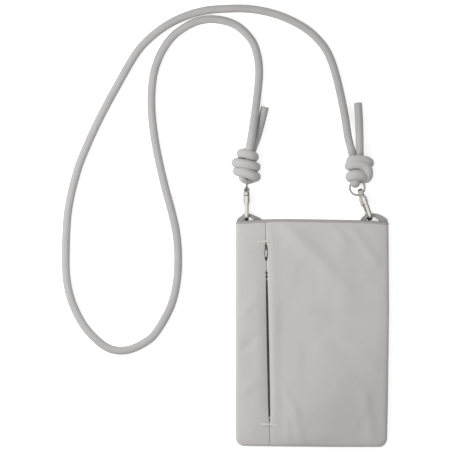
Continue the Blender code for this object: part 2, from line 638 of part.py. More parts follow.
def make_slider():
    """The zip slider with its crown, and the pull on the crown."""
    frame = bpy.data.objects.new("slider_frame", None)
    PARTS.objects.link(frame)
    frame.matrix_world = ZIP_FRAME @ Matrix.Translation((0.0, SLIDER_REST, 0.0))
    half_length = SLIDER_LENGTH / 2
    half_width = SLIDER_WIDTH / 2
    low_z = SLIDER_BASE_Z
    slider = box("zip_slider", (-half_width, -half_length, low_z),
                 (half_width, half_length, SLIDER_TOP_Z))
    chain = link_cutter(box("slider_channel",
                            (-half_width + SLIDER_RIM, -half_length - CUT_OVERRUN,
                             low_z + SLIDER_PLATE),
                            (half_width - SLIDER_RIM, half_length + CUT_OVERRUN,
                             SLIDER_TOP_Z - SLIDER_PLATE)), frame)
    apply_boolean(slider, chain)
    sides = link_cutter(box("slider_sides",
                            (-half_width - CUT_OVERRUN, -half_length - CUT_OVERRUN,
                             TAPE_BASE_Z - FIT_GAP),
                            (half_width + CUT_OVERRUN, half_length + CUT_OVERRUN,
                             TAPE_TOP_Z + FIT_GAP)), frame)
    apply_boolean(slider, sides)
    wedge = link_cutter(box("slider_wedge",
                            (-SLIDER_WEDGE_WIDTH / 2, half_length - SLIDER_WEDGE_LENGTH,
                             low_z + SLIDER_PLATE / 2),
                            (SLIDER_WEDGE_WIDTH / 2, half_length - FIT_GAP,
                             SLIDER_TOP_Z - SLIDER_PLATE / 2)), frame)
    apply_boolean(slider, wedge, "UNION")
    crown_top = SLIDER_TOP_Z + CROWN_RISE
    crown = link_cutter(box("slider_crown",
                            (-CROWN_THICK / 2, -CROWN_LENGTH / 2, SLIDER_TOP_Z - SLIDER_PLATE / 2),
                            (CROWN_THICK / 2, CROWN_LENGTH / 2, crown_top)), frame)
    apply_boolean(slider, crown, "UNION")
    bore = link_cutter(cylinder("crown_bore", CROWN_BORE_RADIUS,
                                (-half_width, 0.0, PULL_AXIS_Z), (half_width, 0.0, PULL_AXIS_Z)),
                       frame)
    apply_boolean(slider, bore)
    link_piece(slider, ZIP_METAL, frame)

    pull = soft_box("zip_pull", (-PULL_WIDTH / 2, -PULL_LENGTH, PULL_AXIS_Z - PULL_THICK / 2),
                    (PULL_WIDTH / 2, PULL_THICK / 2, PULL_AXIS_Z + PULL_THICK / 2), PULL_THICK / 4)
    fork_half = CROWN_THICK / 2 + FIT_GAP
    fork_depth = CROWN_LENGTH / 2 + FIT_GAP
    fork = link_cutter(box("pull_fork", (-fork_half, -fork_depth, PULL_AXIS_Z - PULL_THICK),
                           (fork_half, PULL_THICK, PULL_AXIS_Z + PULL_THICK)), frame)
    apply_boolean(pull, fork)
    pin_half = (PULL_WIDTH / 2 + fork_half) / 2
    pin = link_cutter(cylinder("pull_pin", PULL_PIN_RADIUS, (-pin_half, 0.0, PULL_AXIS_Z),
                               (pin_half, 0.0, PULL_AXIS_Z), 12), frame)
    apply_boolean(pull, pin, "UNION")
    link_piece(pull, ZIP_METAL, frame)


def make_loops():
    """The fabric loops: a folded band that arches from the mouth's corners."""
    outer_leg_x = HALF_WIDTH - SHELL_WALL - FIT_GAP - BAND_THICK / 2
    inner_z = LINING_BASE_Z + LINING_THICK + FIT_GAP + BAND_WIDTH / 2
    tuck_y = MOUTH_Y - LOOP_TUCK
    flat = BAND_WIDTH / 2
    rise = LOOP_AXIS_RISE
    left_x = HOOK_X["left"]
    right_x = HOOK_X["right"]
    slant = math.tan(HOOK_LEAN["right"] / 2) * flat
    left_inner_x = left_x + rise * LOOP_INNER_FOOT_SHARE["left"]
    right_inner_x = right_x - rise * LOOP_INNER_FOOT_SHARE["right"]
    left_outer = LOOP_OUTER_SHOULDER_SHARES["left"]
    right_outer = LOOP_OUTER_SHOULDER_SHARES["right"]
    left_inner = LOOP_INNER_SHOULDER_SHARES
    heel_y = MOUTH_Y + rise * LOOP_HEEL_SHARE
    routes = {
        "left": [(-outer_leg_x, tuck_y, MID_Z), (-outer_leg_x, MOUTH_Y - flat, MID_Z),
                 (-outer_leg_x, heel_y, MID_Z),
                 (left_x - flat * left_outer[0], MOUTH_Y + rise * left_outer[1], MID_Z),
                 (left_x - flat, AXIS_Y, MID_Z), (left_x + flat, AXIS_Y, MID_Z),
                 (left_x + flat * left_inner[0], MOUTH_Y + rise * left_inner[1], MID_Z),
                 (left_inner_x, MOUTH_Y, inner_z), (left_inner_x + flat / 2, tuck_y, inner_z)],
        "right": [(right_inner_x - flat / 2, tuck_y, inner_z), (right_inner_x, MOUTH_Y, inner_z),
                  (right_x - flat, AXIS_Y - slant, MID_Z), (right_x + flat, AXIS_Y + slant, MID_Z),
                  (right_x + flat * right_outer[0], MOUTH_Y + rise * right_outer[1], MID_Z),
                  (outer_leg_x, heel_y, MID_Z), (outer_leg_x, MOUTH_Y - flat, MID_Z),
                  (outer_leg_x, tuck_y, MID_Z)],
    }
    section = bpy.data.curves.new("band_section", "CURVE")
    section.dimensions = "2D"
    outline = section.splines.new("POLY")
    corner = BAND_THICK * BAND_CORNER_SHARE
    half_thick = BAND_THICK / 2
    half_wide = BAND_WIDTH / 2
    corners = [(half_thick, half_wide - corner), (half_thick - corner, half_wide),
               (corner - half_thick, half_wide), (-half_thick, half_wide - corner),
               (-half_thick, corner - half_wide), (corner - half_thick, -half_wide),
               (half_thick - corner, -half_wide), (half_thick, corner - half_wide)]
    outline.points.add(len(corners) - 1)
    for point, (x, y) in zip(outline.points, corners):
        point.co = (x, y, 0.0, 1.0)
    outline.use_cyclic_u = True
    section_object = bpy.data.objects.new("band_section", section)
    CUTTERS.objects.link(section_object)
    section_object.hide_render = True
    for side, route in routes.items():
        points = even_points(smooth_curve(route), BAND_STEP)
        curve = bpy.data.curves.new("loop_" + side, "CURVE")
        curve.dimensions = "3D"
        curve.bevel_mode = "OBJECT"
        curve.bevel_object = section_object
        curve.twist_mode = "Z_UP"
        curve.use_fill_caps = True
        spline = curve.splines.new("POLY")
        spline.points.add(len(points) - 1)
        for point, place in zip(spline.points, points):
            point.co = (*place, 1.0)
        link_piece(evaluated_mesh(bpy.data.objects.new("loop_" + side, curve)), SHELL_CLOTH)


def hook_frame(side, roll):
    """A hook's frame: X across the wire, Y along the hook, Z from gate to spine."""
    return (Matrix.Translation((HOOK_X[side], AXIS_Y, MID_Z))
            @ Matrix.Rotation(HOOK_LEAN[side], 4, "Z") @ Matrix.Rotation(roll, 4, "Y"))


def make_hook(side):
    """One snap hook: body, gate, gate pin and gate spring."""
    frame = bpy.data.objects.new("hook_frame_" + side, None)
    PARTS.objects.link(frame)
    frame.matrix_world = hook_frame(side, HOOK_ROLL[side])
    half_breadth = BLOCK_BREADTH / 2
    back_v = BEND_RADIUS + HOOK_WIRE / 2 + BLOCK_BACK_MARGIN
    body = soft_box("hook_body_" + side, (-half_breadth, BLOCK_START_U, -BLOCK_FRONT_V),
                    (half_breadth, BLOCK_TOP_U, back_v), BLOCK_EDGE)
    bend = [(0.0, BEND_RADIUS * math.sin(math.radians(angle)),
             BEND_RADIUS * math.cos(math.radians(angle))) for angle in range(0, -181, -15)]
    path = [(0.0, BLOCK_START_U + HOOK_WIRE, BEND_RADIUS)] + bend + [(0.0, NOSE_U, -BEND_RADIUS)]
    wire = tube("hook_wire_" + side, path, HOOK_WIRE / 2, 3)
    wire.data.transform(Matrix.Scale(HOOK_WIRE_BREADTH / HOOK_WIRE, 4, (1.0, 0.0, 0.0)))
    apply_boolean(body, link_cutter(wire, frame), "UNION")
    slot_half = GATE_THICK / 2 + FIT_GAP
    slot = box("gate_slot_" + side,
               (-slot_half, BLOCK_START_U - CUT_OVERRUN, -BLOCK_FRONT_V - CUT_OVERRUN),
               (slot_half, SLOT_TOP_U, -BLOCK_FRONT_V + SLOT_DEPTH_V))
    apply_boolean(body, link_cutter(slot, frame))
    cavity = cylinder("eye_cavity_" + side, CAVITY_RADIUS,
                      (0.0, BORE_BASE_U - CAVITY_LENGTH, 0.0), (0.0, BORE_BASE_U, 0.0))
    apply_boolean(body, link_cutter(cavity, frame))
    bore = cylinder("eye_bore_" + side, BORE_RADIUS, (0.0, BORE_BASE_U - FIT_GAP, 0.0),
                    (0.0, BLOCK_TOP_U + CUT_OVERRUN, 0.0))
    apply_boolean(body, link_cutter(bore, frame))
    pin_reach = half_breadth + CUT_OVERRUN
    pin_hole = cylinder("pin_hole_" + side, PIN_RADIUS + FIT_GAP,
                        (-pin_reach, GATE_PIVOT_U, GATE_PIVOT_V),
                        (pin_reach, GATE_PIVOT_U, GATE_PIVOT_V))
    pin_hole = link_cutter(pin_hole, frame)
    apply_boolean(body, pin_hole)
    link_piece(body, NICKEL, frame)

    lip_outer_v = -(BEND_INNER_RADIUS - FIT_GAP)
    lip_inner_v = lip_outer_v + LIP_THICK
    bar_end_u = NOSE_U + FIT_GAP
    outline = [(LIP_TIP_U, lip_inner_v), (LIP_TIP_U, lip_outer_v), (bar_end_u, lip_outer_v),
               (bar_end_u, GATE_BAR_OUTER_V), (GATE_TAB_BASE_U - GATE_CHAMFER, GATE_BAR_OUTER_V),
               (GATE_TAB_BASE_U + GATE_CHAMFER, GATE_TAB_OUTER_V),
               (GATE_TAB_TOP_U - GATE_CHAMFER, GATE_TAB_OUTER_V),
               (GATE_TAB_TOP_U, GATE_TAB_OUTER_V + GATE_CHAMFER),
               (GATE_TAB_TOP_U, -BLOCK_FRONT_V - FIT_GAP),
               (GATE_ROOT_TOP_U, -BLOCK_FRONT_V - FIT_GAP),
               (GATE_ROOT_TOP_U, GATE_ROOT_INNER_V - GATE_CHAMFER),
               (GATE_ROOT_TOP_U - GATE_CHAMFER, GATE_ROOT_INNER_V),
               (GATE_ROOT_BASE_U, GATE_ROOT_INNER_V), (GATE_ROOT_BASE_U, GATE_BAR_INNER_V),
               (LIP_TOP_U, GATE_BAR_INNER_V), (LIP_TOP_U, lip_inner_v)]
    gate = extrude_along_x("gate_" + side, outline, -GATE_THICK / 2, GATE_THICK / 2)
    apply_boolean(gate, pin_hole)
    link_piece(gate, NICKEL, frame)

    pin_half = half_breadth + PIN_HEAD
    pin = cylinder("gate_pin_" + side, PIN_RADIUS, (-pin_half, GATE_PIVOT_U, GATE_PIVOT_V),
                   (pin_half, GATE_PIVOT_U, GATE_PIVOT_V), 16)
    link_piece(pin, NICKEL, frame)

    start_v = GATE_ROOT_INNER_V + FIT_GAP + SPRING_WIRE_RADIUS
    end_v = -BLOCK_FRONT_V + SLOT_DEPTH_V - FIT_GAP - SPRING_WIRE_RADIUS
    count = SPRING_TURNS * SPRING_STEPS
    helix = []
    for number in range(count + 1):
        angle = 2 * math.pi * number / SPRING_STEPS
        helix.append(Vector((SPRING_MEAN_RADIUS * math.cos(angle),
                             SPRING_U + SPRING_MEAN_RADIUS * math.sin(angle),
                             start_v + (end_v - start_v) * number / count)))
    spring = tube("gate_spring_" + side, helix, SPRING_WIRE_RADIUS, 1)
    link_piece(spring, SPRING_STEEL, frame)
    turn_gap = (end_v - start_v) / SPRING_TURNS - 2 * SPRING_WIRE_RADIUS
    print("gate spring turn gap mm", side, round(turn_gap / MM, 2))


def make_eye(side):
    """The swivel eye: an oval eye on a collar, post and head."""
    frame = bpy.data.objects.new("eye_frame_" + side, None)
    PARTS.objects.link(frame)
    frame.matrix_world = hook_frame(side, EYE_ROLL[side])
    head_top = BORE_BASE_U - HEAD_SEAT
    head_base = head_top - HEAD_THICK
    collar_top = COLLAR_BASE_U + COLLAR_THICK
    eye = cylinder("swivel_eye_" + side, POST_RADIUS, (0.0, head_base + HEAD_THICK / 2, 0.0),
                   (0.0, collar_top - COLLAR_THICK / 2, 0.0))
    head = cylinder("eye_head_" + side, HEAD_RADIUS, (0.0, head_base, 0.0), (0.0, head_top, 0.0))
    collar = cylinder("eye_collar_" + side, COLLAR_RADIUS, (0.0, COLLAR_BASE_U, 0.0),
                      (0.0, collar_top, 0.0))
    arch_radius = EYE_OPENING_WIDTH / 2 + EYE_WIRE_RADIUS
    low_centre = EYE_CENTRE_BASE_U + arch_radius
    high_centre = EYE_OPENING_TOP_U + EYE_WIRE_RADIUS - arch_radius
    oval = arc((high_centre, 0.0), arch_radius, -90, 90, 8)
    oval += arc((low_centre, 0.0), arch_radius, 90, 270, 8)
    arch = tube("eye_arch_" + side, [(0.0, u, v) for u, v in oval], EYE_WIRE_RADIUS, 2, True)
    for cutter in (head, collar, arch):
        apply_boolean(eye, link_cutter(cutter, frame), "UNION")
    link_piece(eye, NICKEL, frame)


def ring_place(side):
    """A ring's centre and the turn of its plane."""
    frame = hook_frame(side, 0.0)
    if side == "left":
        contact = EYE_OPENING_TOP_U - RING_WIRE_RADIUS - RING_PLAY
        centre = frame @ Vector((0.0, contact + RING_RADIUS, 0.0))
        centre.z = RING_OUTER_RADIUS + FIT_GAP
        return centre, Matrix.Rotation(math.pi / 2, 4, "Y")
    contact = EYE_OPENING_BASE_U + RING_WIRE_RADIUS + RING_PLAY
    centre = frame @ Vector((0.0, contact, 0.0))
    centre += Vector((-math.sin(RIGHT_RING_OFFSET_ANGLE), math.cos(RIGHT_RING_OFFSET_ANGLE), 0.0)) \
        * RING_RADIUS
    return centre, Matrix.Identity(4)


def make_ring(side):
    """The plain ring between the swivel eye and the knot."""
    centre, turn = ring_place(side)
    circle = [(x, y, 0.0) for x, y in arc((0.0, 0.0), RING_RADIUS, 0, 360, 32)[:-1]]
    ring = tube("ring_" + side, circle, RING_WIRE_RADIUS, 2, True)
    ring.data.transform(turn)
    ring.location = centre
    link_piece(ring, NICKEL)


def make_knot(side):
    """One barrel knot: its wraps round a core, and its bight through the ring."""
    ring_centre, _ = ring_place(side)
    base_x = ring_centre.x + KNOT_SHIFT[side]
    base_y = ring_centre.y + RING_OUTER_RADIUS + KNOT_STANDOFF[side]
    frame = bpy.data.objects.new("knot_frame_" + side, None)
    PARTS.objects.link(frame)
    frame.matrix_world = Matrix.Translation((base_x, base_y, KNOT_Z))
    half = KNOT_CORE_HALF
    wrap_outline = arc((half, 0.0), KNOT_CORE_RADIUS, -90, 90, 8)
    wrap_outline += arc((-half, 0.0), KNOT_CORE_RADIUS, 90, 270, 8)
    core_radius = KNOT_CORE_RADIUS - KNOT_CORD_RADIUS / 5
    core_outline = arc((half, 0.0), core_radius, -90, 90, 8)
    core_outline += arc((-half, 0.0), core_radius, 90, 270, 8)
    core = plate("knot_" + side, core_outline, 0.0, KNOT_HEIGHT)
    core.data.transform(Matrix.Rotation(-math.pi / 2, 4, "X"))
    for wrap in range(KNOT_WRAPS):
        middle_y = KNOT_PITCH * (wrap + 0.5)
        tilt = KNOT_TILT * (1 - wrap)
        band = tube("knot_wrap_%s_%d" % (side, wrap),
                    [(x, middle_y + x * math.tan(tilt), z) for x, z in wrap_outline],
                    KNOT_CORD_RADIUS, 2, True)
        apply_boolean(core, link_cutter(band, frame), "UNION", "MANIFOLD")
    wire_y = ring_centre.y + RING_RADIUS - base_y
    wire_x = ring_centre.x - base_x
    wire_z = ring_centre.z - KNOT_Z
    root_y = KNOT_PITCH
    bight = []
    for x, y in arc((0.0, 0.0), BIGHT_RADIUS, 180, 360, 10):
        if side == "left":
            bight.append((wire_x + x, wire_y + y, wire_z))
        else:
            bight.append((wire_x, wire_y + y, wire_z - x))
    first = (bight[0][0], root_y, bight[0][2])
    last = (bight[-1][0], root_y, bight[-1][2])
    loop = tube("knot_bight_" + side, [first] + bight + [last], KNOT_CORD_RADIUS, 2)
    apply_boolean(core, link_cutter(loop, frame), "UNION", "MANIFOLD")
    link_piece(core, CORD_CLOTH, frame)


def lifted_route(flat_points, start_lift, end_lift):
    """A route's points on the surface, lifted towards its ends."""
    rest = CORD_RADIUS + CORD_REST
    places = [Vector((x * MM, y * MM, rest)) for x, y in flat_points]
    fine = smooth_curve(places)
    lengths = [0.0]
    for start, end in zip(fine, fine[1:]):
        lengths.append(lengths[-1] + (end - start).length)
    for place, length in zip(fine, lengths):
        for lift, distance in ((start_lift, length), (end_lift, lengths[-1] - length)):
            share = min(distance / SETTLE_LENGTH, 1.0)
            place.z += (lift - rest) * (1 - share * share * (3 - 2 * share)) if lift else 0.0
    return fine, lengths[-1]


def make_cords():
    """The strap from knot to knot, and the two short tails."""
    fine, length = lifted_route(ROUTE_MM, STRAP_LIFT["left"], STRAP_LIFT["right"])
    strap = tube("strap_cord", even_points(fine, CORD_STEP), CORD_RADIUS, 3)
    link_piece(strap, CORD_CLOTH)
    print("strap length mm", round(length / MM, 1))
    for side in ("left", "right"):
        fine, length = lifted_route(TAIL_ROUTE_MM[side], TAIL_LIFT[side], 0.0)
        tail = tube("tail_" + side, even_points(fine, CORD_STEP / 2), CORD_RADIUS, 3)
        link_piece(tail, CORD_CLOTH)
        print("tail length mm", side, round(length / MM, 1))


make_shell()
make_seam_tape()
make_lining()
make_hems()
make_zip()
make_pocket()
make_slider()
make_loops()
for hook_side in ("left", "right"):
    make_hook(hook_side)
    make_eye(hook_side)
    make_ring(hook_side)
    make_knot(hook_side)
make_cords()
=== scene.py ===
# %% [markdown]
# An accessory pouch on a knotted cord.
#
# The pouch lies on its back on white paper and is seen from straight above. The solid
# model underneath sets the object's sizes, and this script dresses it: each piece below is
# laid over its solid and takes its place. Only the gate springs stay solids with a new look.

# %% Load the solid model
import math

import bmesh
import bpy
import numpy as np
from mathutils import Matrix, Vector


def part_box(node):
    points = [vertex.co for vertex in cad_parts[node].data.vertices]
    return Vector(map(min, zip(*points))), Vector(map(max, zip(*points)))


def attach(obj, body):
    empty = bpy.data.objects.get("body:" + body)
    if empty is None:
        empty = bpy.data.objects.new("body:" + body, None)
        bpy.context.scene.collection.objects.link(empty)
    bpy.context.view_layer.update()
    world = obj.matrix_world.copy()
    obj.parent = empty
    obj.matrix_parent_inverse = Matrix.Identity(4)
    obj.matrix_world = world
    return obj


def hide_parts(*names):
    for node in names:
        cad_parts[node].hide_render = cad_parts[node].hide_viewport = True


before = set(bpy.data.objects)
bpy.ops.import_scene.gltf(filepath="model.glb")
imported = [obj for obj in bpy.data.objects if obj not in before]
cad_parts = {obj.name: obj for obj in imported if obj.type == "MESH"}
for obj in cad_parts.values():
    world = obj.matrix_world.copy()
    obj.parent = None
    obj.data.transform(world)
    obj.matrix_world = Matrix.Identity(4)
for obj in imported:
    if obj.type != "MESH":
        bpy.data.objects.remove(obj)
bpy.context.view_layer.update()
MM = 0.001

# %% [markdown]
# A few helpers keep the rest short. One puts an object in the scene, one turns a bmesh into
# a mesh, one adds a modifier, and one adds a node to a tree: its sockets are given as
# values, or as the outputs of other nodes, which are then joined to them.

# %% Objects and nodes


def placed(name, data):
    """A new object in the scene."""
    thing = bpy.data.objects.new(name, data)
    bpy.context.scene.collection.objects.link(thing)
    return thing


def mesh_from(name, builder):
    """The mesh that a bmesh holds."""
    mesh = bpy.data.meshes.new(name)
    builder.to_mesh(mesh)
    builder.free()
    return mesh


def set_all(thing, settings):
    """Set several properties of a thing and give it back."""
    for key, value in settings.items():
        setattr(thing, key, value)
    return thing


def modify(piece, kind, **settings):
    """Give an object a modifier with its settings."""
    return set_all(piece.modifiers.new(kind.lower(), kind), settings)


def add(tree, kind, sockets=None, **settings):
    """A new node, its settings, and its sockets set to values or joined to outputs."""
    node = set_all(tree.nodes.new(kind), settings)
    for key, value in (sockets or {}).items():
        if isinstance(value, bpy.types.NodeSocket):
            tree.links.new(value, node.inputs[key])
        else:
            node.inputs[key].default_value = value
    return node


def calc(tree, operation, *values):
    """The result of a Math node."""
    return add(tree, "ShaderNodeMath", dict(enumerate(values)), operation=operation).outputs[0]


def ramp(tree, factor, dark, light, ends=(0.0, 1.0)):
    """A colour that runs from dark to light with a factor."""
    node = add(tree, "ShaderNodeValToRGB", {"Fac": factor})
    for number, colour in enumerate((dark, light)):
        node.color_ramp.elements[number].position = ends[number]
        node.color_ramp.elements[number].color = (*colour, 1.0)
    return node.outputs["Color"]


def new_material(name):
    """A material with an empty node tree."""
    material = bpy.data.materials.new(name)
    material.use_nodes = True
    material.node_tree.nodes.clear()
    return material, material.node_tree


# %% [markdown]
# The camera. The photograph looks straight down with hardly any perspective, so a long
# lens high above the table gives the same view. One pixel of it is 0.87 mm. A place read
# from the photograph is turned into metres by the first helper here.

# %% Camera straight above
PICTURE_SIZE = 452
PIXEL = 0.87 * MM
PICTURE_ORIGIN = (312.2, 330.28)
CAMERA_HEIGHT = 3.0
SENSOR_WIDTH = 36.0
SUBJECT_HEIGHT = 7.5 * MM
VIEW_REACH = 20.0


def from_picture(x, y):
    """The place on the table under a pixel of the photograph."""
    return (x - PICTURE_ORIGIN[0]) * PIXEL, (PICTURE_ORIGIN[1] - y) * PIXEL


def picture_row(y):
    """The photograph's pixel row at a height on the pouch."""
    return PICTURE_ORIGIN[1] - np.asarray(y) / PIXEL


camera = placed("camera_above", bpy.data.cameras.new("camera_above"))
camera.data.sensor_width = SENSOR_WIDTH
camera.data.lens = SENSOR_WIDTH * CAMERA_HEIGHT / (PICTURE_SIZE * PIXEL)
camera.data.clip_end = VIEW_REACH
camera.location = (*from_picture(PICTURE_SIZE / 2, PICTURE_SIZE / 2),
                   CAMERA_HEIGHT + SUBJECT_HEIGHT)
bpy.context.scene.camera = camera
print("lens", round(camera.data.lens, 1), "mm at", CAMERA_HEIGHT, "m")

# %% [markdown]
# The studio. A soft key light stands up and to the left, as the shading of the pouch
# shows, and the white surroundings fill the shadows. The paper looks white to the camera
# and keeps the object's faint shadow. In a mirror, such as the nickel of the hooks, the
# room is pale on the key light's side and dim on the other, and the paper is less bright,
# which draws the bright bars and dark edges along polished metal.

# %% Studio light and paper
WHITE = (1.0, 1.0, 1.0, 1.0)
KEY_PLACE = Vector((-0.53, 0.17, 0.55))
KEY_TARGET = Vector((-0.03, 0.06, 0.0))
KEY_SIZE = 0.42
KEY_POWER = 3.75
KEY_COLOUR = (1.0, 0.985, 0.965)
SURROUND_STRENGTH = 0.585
SURROUND_COLOUR = (1.0, 0.995, 0.985, 1.0)
PAPER_COLOUR = (0.86, 0.86, 0.86, 1.0)
PAPER_HALF_SIZE = 3.0
PAPER_DROP = 0.05 * MM
PAPER_LIFT = 0.58
PAPER_LIFT_IN_METAL = 0.12
MIRROR_TOWARDS = Vector((-0.42, 0.22, 0.88))
MIRROR_STRENGTH = 1.22
MIRROR_DIM = (0.16, 0.16, 0.16)
MIRROR_BRIGHT = (1.0, 0.985, 0.95)
MIRROR_RANGE = (0.15, 0.80)


def seen_directly(tree, in_metal=1.0):
    """1 for camera and transmission rays, a number of its own for glossy rays, else 0."""
    path = add(tree, "ShaderNodeLightPath").outputs
    glossy = calc(tree, "MULTIPLY", path["Is Glossy Ray"], in_metal)
    seen = calc(tree, "MAXIMUM", path["Is Camera Ray"], glossy)
    return calc(tree, "MAXIMUM", seen, path["Is Transmission Ray"])


world = bpy.data.worlds.new("studio")
world.use_nodes = True
bpy.context.scene.world = world
sky = world.node_tree
sky.nodes.clear()
surround = add(sky, "ShaderNodeBackground",
               {"Color": SURROUND_COLOUR, "Strength": SURROUND_STRENGTH})
white = add(sky, "ShaderNodeBackground", {"Color": WHITE})
room = add(sky, "ShaderNodeMixShader",
           {0: seen_directly(sky), 1: surround.outputs[0], 2: white.outputs[0]})
direction = add(sky, "ShaderNodeTexCoord").outputs["Generated"]
towards_key = add(sky, "ShaderNodeVectorMath", {0: direction, 1: MIRROR_TOWARDS},
                  operation="DOT_PRODUCT")
ceiling = ramp(sky, towards_key.outputs["Value"], MIRROR_DIM, MIRROR_BRIGHT, MIRROR_RANGE)
mirrored = add(sky, "ShaderNodeBackground", {"Color": ceiling, "Strength": MIRROR_STRENGTH})
in_mirror = add(sky, "ShaderNodeLightPath").outputs["Is Glossy Ray"]
all_round = add(sky, "ShaderNodeMixShader", {0: in_mirror, 1: room.outputs[0],
                                             2: mirrored.outputs[0]})
add(sky, "ShaderNodeOutputWorld", {"Surface": all_round.outputs[0]})

key = placed("key_light", bpy.data.lights.new("key_light", "AREA"))
key.data.shape = "DISK"
key.data.size = KEY_SIZE
key.data.energy = KEY_POWER
key.data.color = KEY_COLOUR
key.location = KEY_PLACE
key.rotation_euler = (KEY_TARGET - KEY_PLACE).to_track_quat("-Z", "Y").to_euler()
key.visible_glossy = False

paper_material, paper_tree = new_material("white_paper")
paper_seen = seen_directly(paper_tree, PAPER_LIFT_IN_METAL / PAPER_LIFT)
paper_lift = calc(paper_tree, "MULTIPLY", paper_seen, PAPER_LIFT)
matt = add(paper_tree, "ShaderNodeBsdfDiffuse", {"Color": PAPER_COLOUR})
glow = add(paper_tree, "ShaderNodeEmission", {"Color": WHITE, "Strength": paper_lift})
both = add(paper_tree, "ShaderNodeAddShader", {0: matt.outputs[0], 1: glow.outputs[0]})
add(paper_tree, "ShaderNodeOutputMaterial", {"Surface": both.outputs[0]})
paper_builder = bmesh.new()
bmesh.ops.create_grid(paper_builder, x_segments=1, y_segments=1, size=PAPER_HALF_SIZE)
paper = placed("paper", mesh_from("paper", paper_builder))
paper.data.transform(Matrix.Translation((0.0, 0.0, -PAPER_DROP)))
paper.data.materials.append(paper_material)
print("key light", KEY_POWER, "W, surroundings", SURROUND_STRENGTH)

# %% [markdown]
# Every material of the object is a Principled shader with a pattern for its tone and often
# a low bump. Patterns use the piece's own UV map or its object coordinates, so they stay
# with the piece when it moves.

# %% Shader helpers


def principled(name, colour, roughness, others=None):
    """A Principled material, its tree and its shader."""
    material, tree = new_material(name)
    shader = add(tree, "ShaderNodeBsdfPrincipled",
                 {"Base Color": (*colour, 1.0), "Roughness": roughness, **(others or {})})
    add(tree, "ShaderNodeOutputMaterial", {"Surface": shader.outputs[0]})
    return material, tree, shader


def blend(tree, *parts):
    """The sum of patterns, each times its share."""
    total = 0.0
    for pattern, share in parts:
        total = calc(tree, "MULTIPLY_ADD", pattern, share, total)
    return total


def darkened(tree, colour, factor):
    """A colour times a factor."""
    return add(tree, "ShaderNodeVectorMath", {0: colour, "Scale": factor},
               operation="SCALE").outputs["Vector"]


def finish_surface(tree, shader, colour, height=None, depth=0.0):
    """Join a colour to a shader, and raise its surface by a pattern if there is one."""
    tree.links.new(colour, shader.inputs["Base Color"])
    if height is not None:
        relief = add(tree, "ShaderNodeBump", {"Distance": depth, "Strength": 1.0,
                                              "Height": height})
        tree.links.new(relief.outputs["Normal"], shader.inputs["Normal"])


def uv_axes(tree):
    """A piece's coordinates, and the two numbers of its UV map."""
    coordinate = add(tree, "ShaderNodeTexCoord")
    parts = add(tree, "ShaderNodeSeparateXYZ", {0: coordinate.outputs["UV"]})
    return coordinate, parts.outputs["X"], parts.outputs["Y"]


def noise(tree, coordinate, scale, detail=3.0):
    """Soft noise in the object's own space."""
    return add(tree, "ShaderNodeTexNoise", {"Scale": scale, "Detail": detail,
                                            "Vector": coordinate.outputs["Object"]}).outputs["Fac"]


def make_plain(name, colour, roughness, cloud, dark, light, others=None):
    """A plain material with a faint cloud of tone."""
    material, tree, shader = principled(name, colour, roughness, others)
    tone = noise(tree, add(tree, "ShaderNodeTexCoord"), *cloud)
    finish_surface(tree, shader, ramp(tree, tone, dark, light))
    return material


# %% [markdown]
# Cord finish. The cord is a round braid of fine polyester yarn: columns of short slanted
# picks, each column leaning the other way to its neighbour. U of the UV map is the share of
# the way round and V is the length along the cord. The free run is a little darker than
# the knots: painted shade, as it lies low on the table while the knots stand up in the light.

# %% Cord finish
BRAID_COLUMNS = 20.0
BRAID_PICK = 1.15 * MM
BRAID_DEPTH = 0.10 * MM
# Height along a pick: half of its swing and its middle. Height across a column: its rise
# and its lowest place.
PICK_WAVE = (0.375, 0.625)
COLUMN_WAVE = (0.45, 0.55)
CORD_CLOUD = 90.0
CORD_ROUGHNESS = 0.82
CORD_DARK = (0.362, 0.358, 0.361)
CORD_LIGHT = (0.572, 0.566, 0.570)
CORD_SHEEN = {"Sheen Weight": 0.12, "Sheen Roughness": 0.5, "Specular IOR Level": 0.25}
# Painted shade on the free run and tails: its level, and how far from a knot it takes to reach it
RUN_SHADE_LEVEL = 0.855
RUN_SHADE_FADE = 30.0 * MM
# A tail takes the same painted shade from its knot on, as the start of a long run does
TAIL_RUN = 1.0


def make_cord_finish(name, shaded_run=0.0):
    """Braided cord. A shaded run is darker from a little way off its ends on: painted shade."""
    material, tree, shader = principled(name, CORD_LIGHT, CORD_ROUGHNESS, CORD_SHEEN)
    coordinate, round_share, along = uv_axes(tree)
    lean = calc(tree, "PINGPONG", calc(tree, "MULTIPLY", round_share, BRAID_COLUMNS), 1.0)
    turns = calc(tree, "ADD", calc(tree, "DIVIDE", along, BRAID_PICK), lean)
    wave = calc(tree, "SINE", calc(tree, "MULTIPLY", turns, 2 * math.pi))
    pick = calc(tree, "MULTIPLY_ADD", wave, *PICK_WAVE)
    groove = calc(tree, "SINE", calc(tree, "MULTIPLY", lean, math.pi / 2))
    height = calc(tree, "MULTIPLY", pick, calc(tree, "MULTIPLY_ADD", groove, *COLUMN_WAVE))
    # The braid's low places are darker: painted shade in its grooves, with a random cloud of tone on
    # top
    tone = blend(tree, (height, 0.75), (noise(tree, coordinate, CORD_CLOUD), 0.40))
    colour = ramp(tree, tone, CORD_DARK, CORD_LIGHT)
    # Painted shade: the run darkens from a little way off the knots on
    if shaded_run:
        from_end = calc(tree, "MINIMUM", along, calc(tree, "SUBTRACT", shaded_run, along))
        away_from_knot = calc(tree, "DIVIDE", from_end, RUN_SHADE_FADE)
        away_from_knot.node.use_clamp = True
        shade = calc(tree, "MULTIPLY_ADD", away_from_knot, RUN_SHADE_LEVEL - 1.0, 1.0)
        colour = darkened(tree, colour, shade)
    finish_surface(tree, shader, colour, height, BRAID_DEPTH)
    return material


CORD_FINISH = make_cord_finish("braided_cord")
TAIL_FINISH = make_cord_finish("braided_tail", TAIL_RUN)
print("cord braid of", int(BRAID_COLUMNS), "columns")

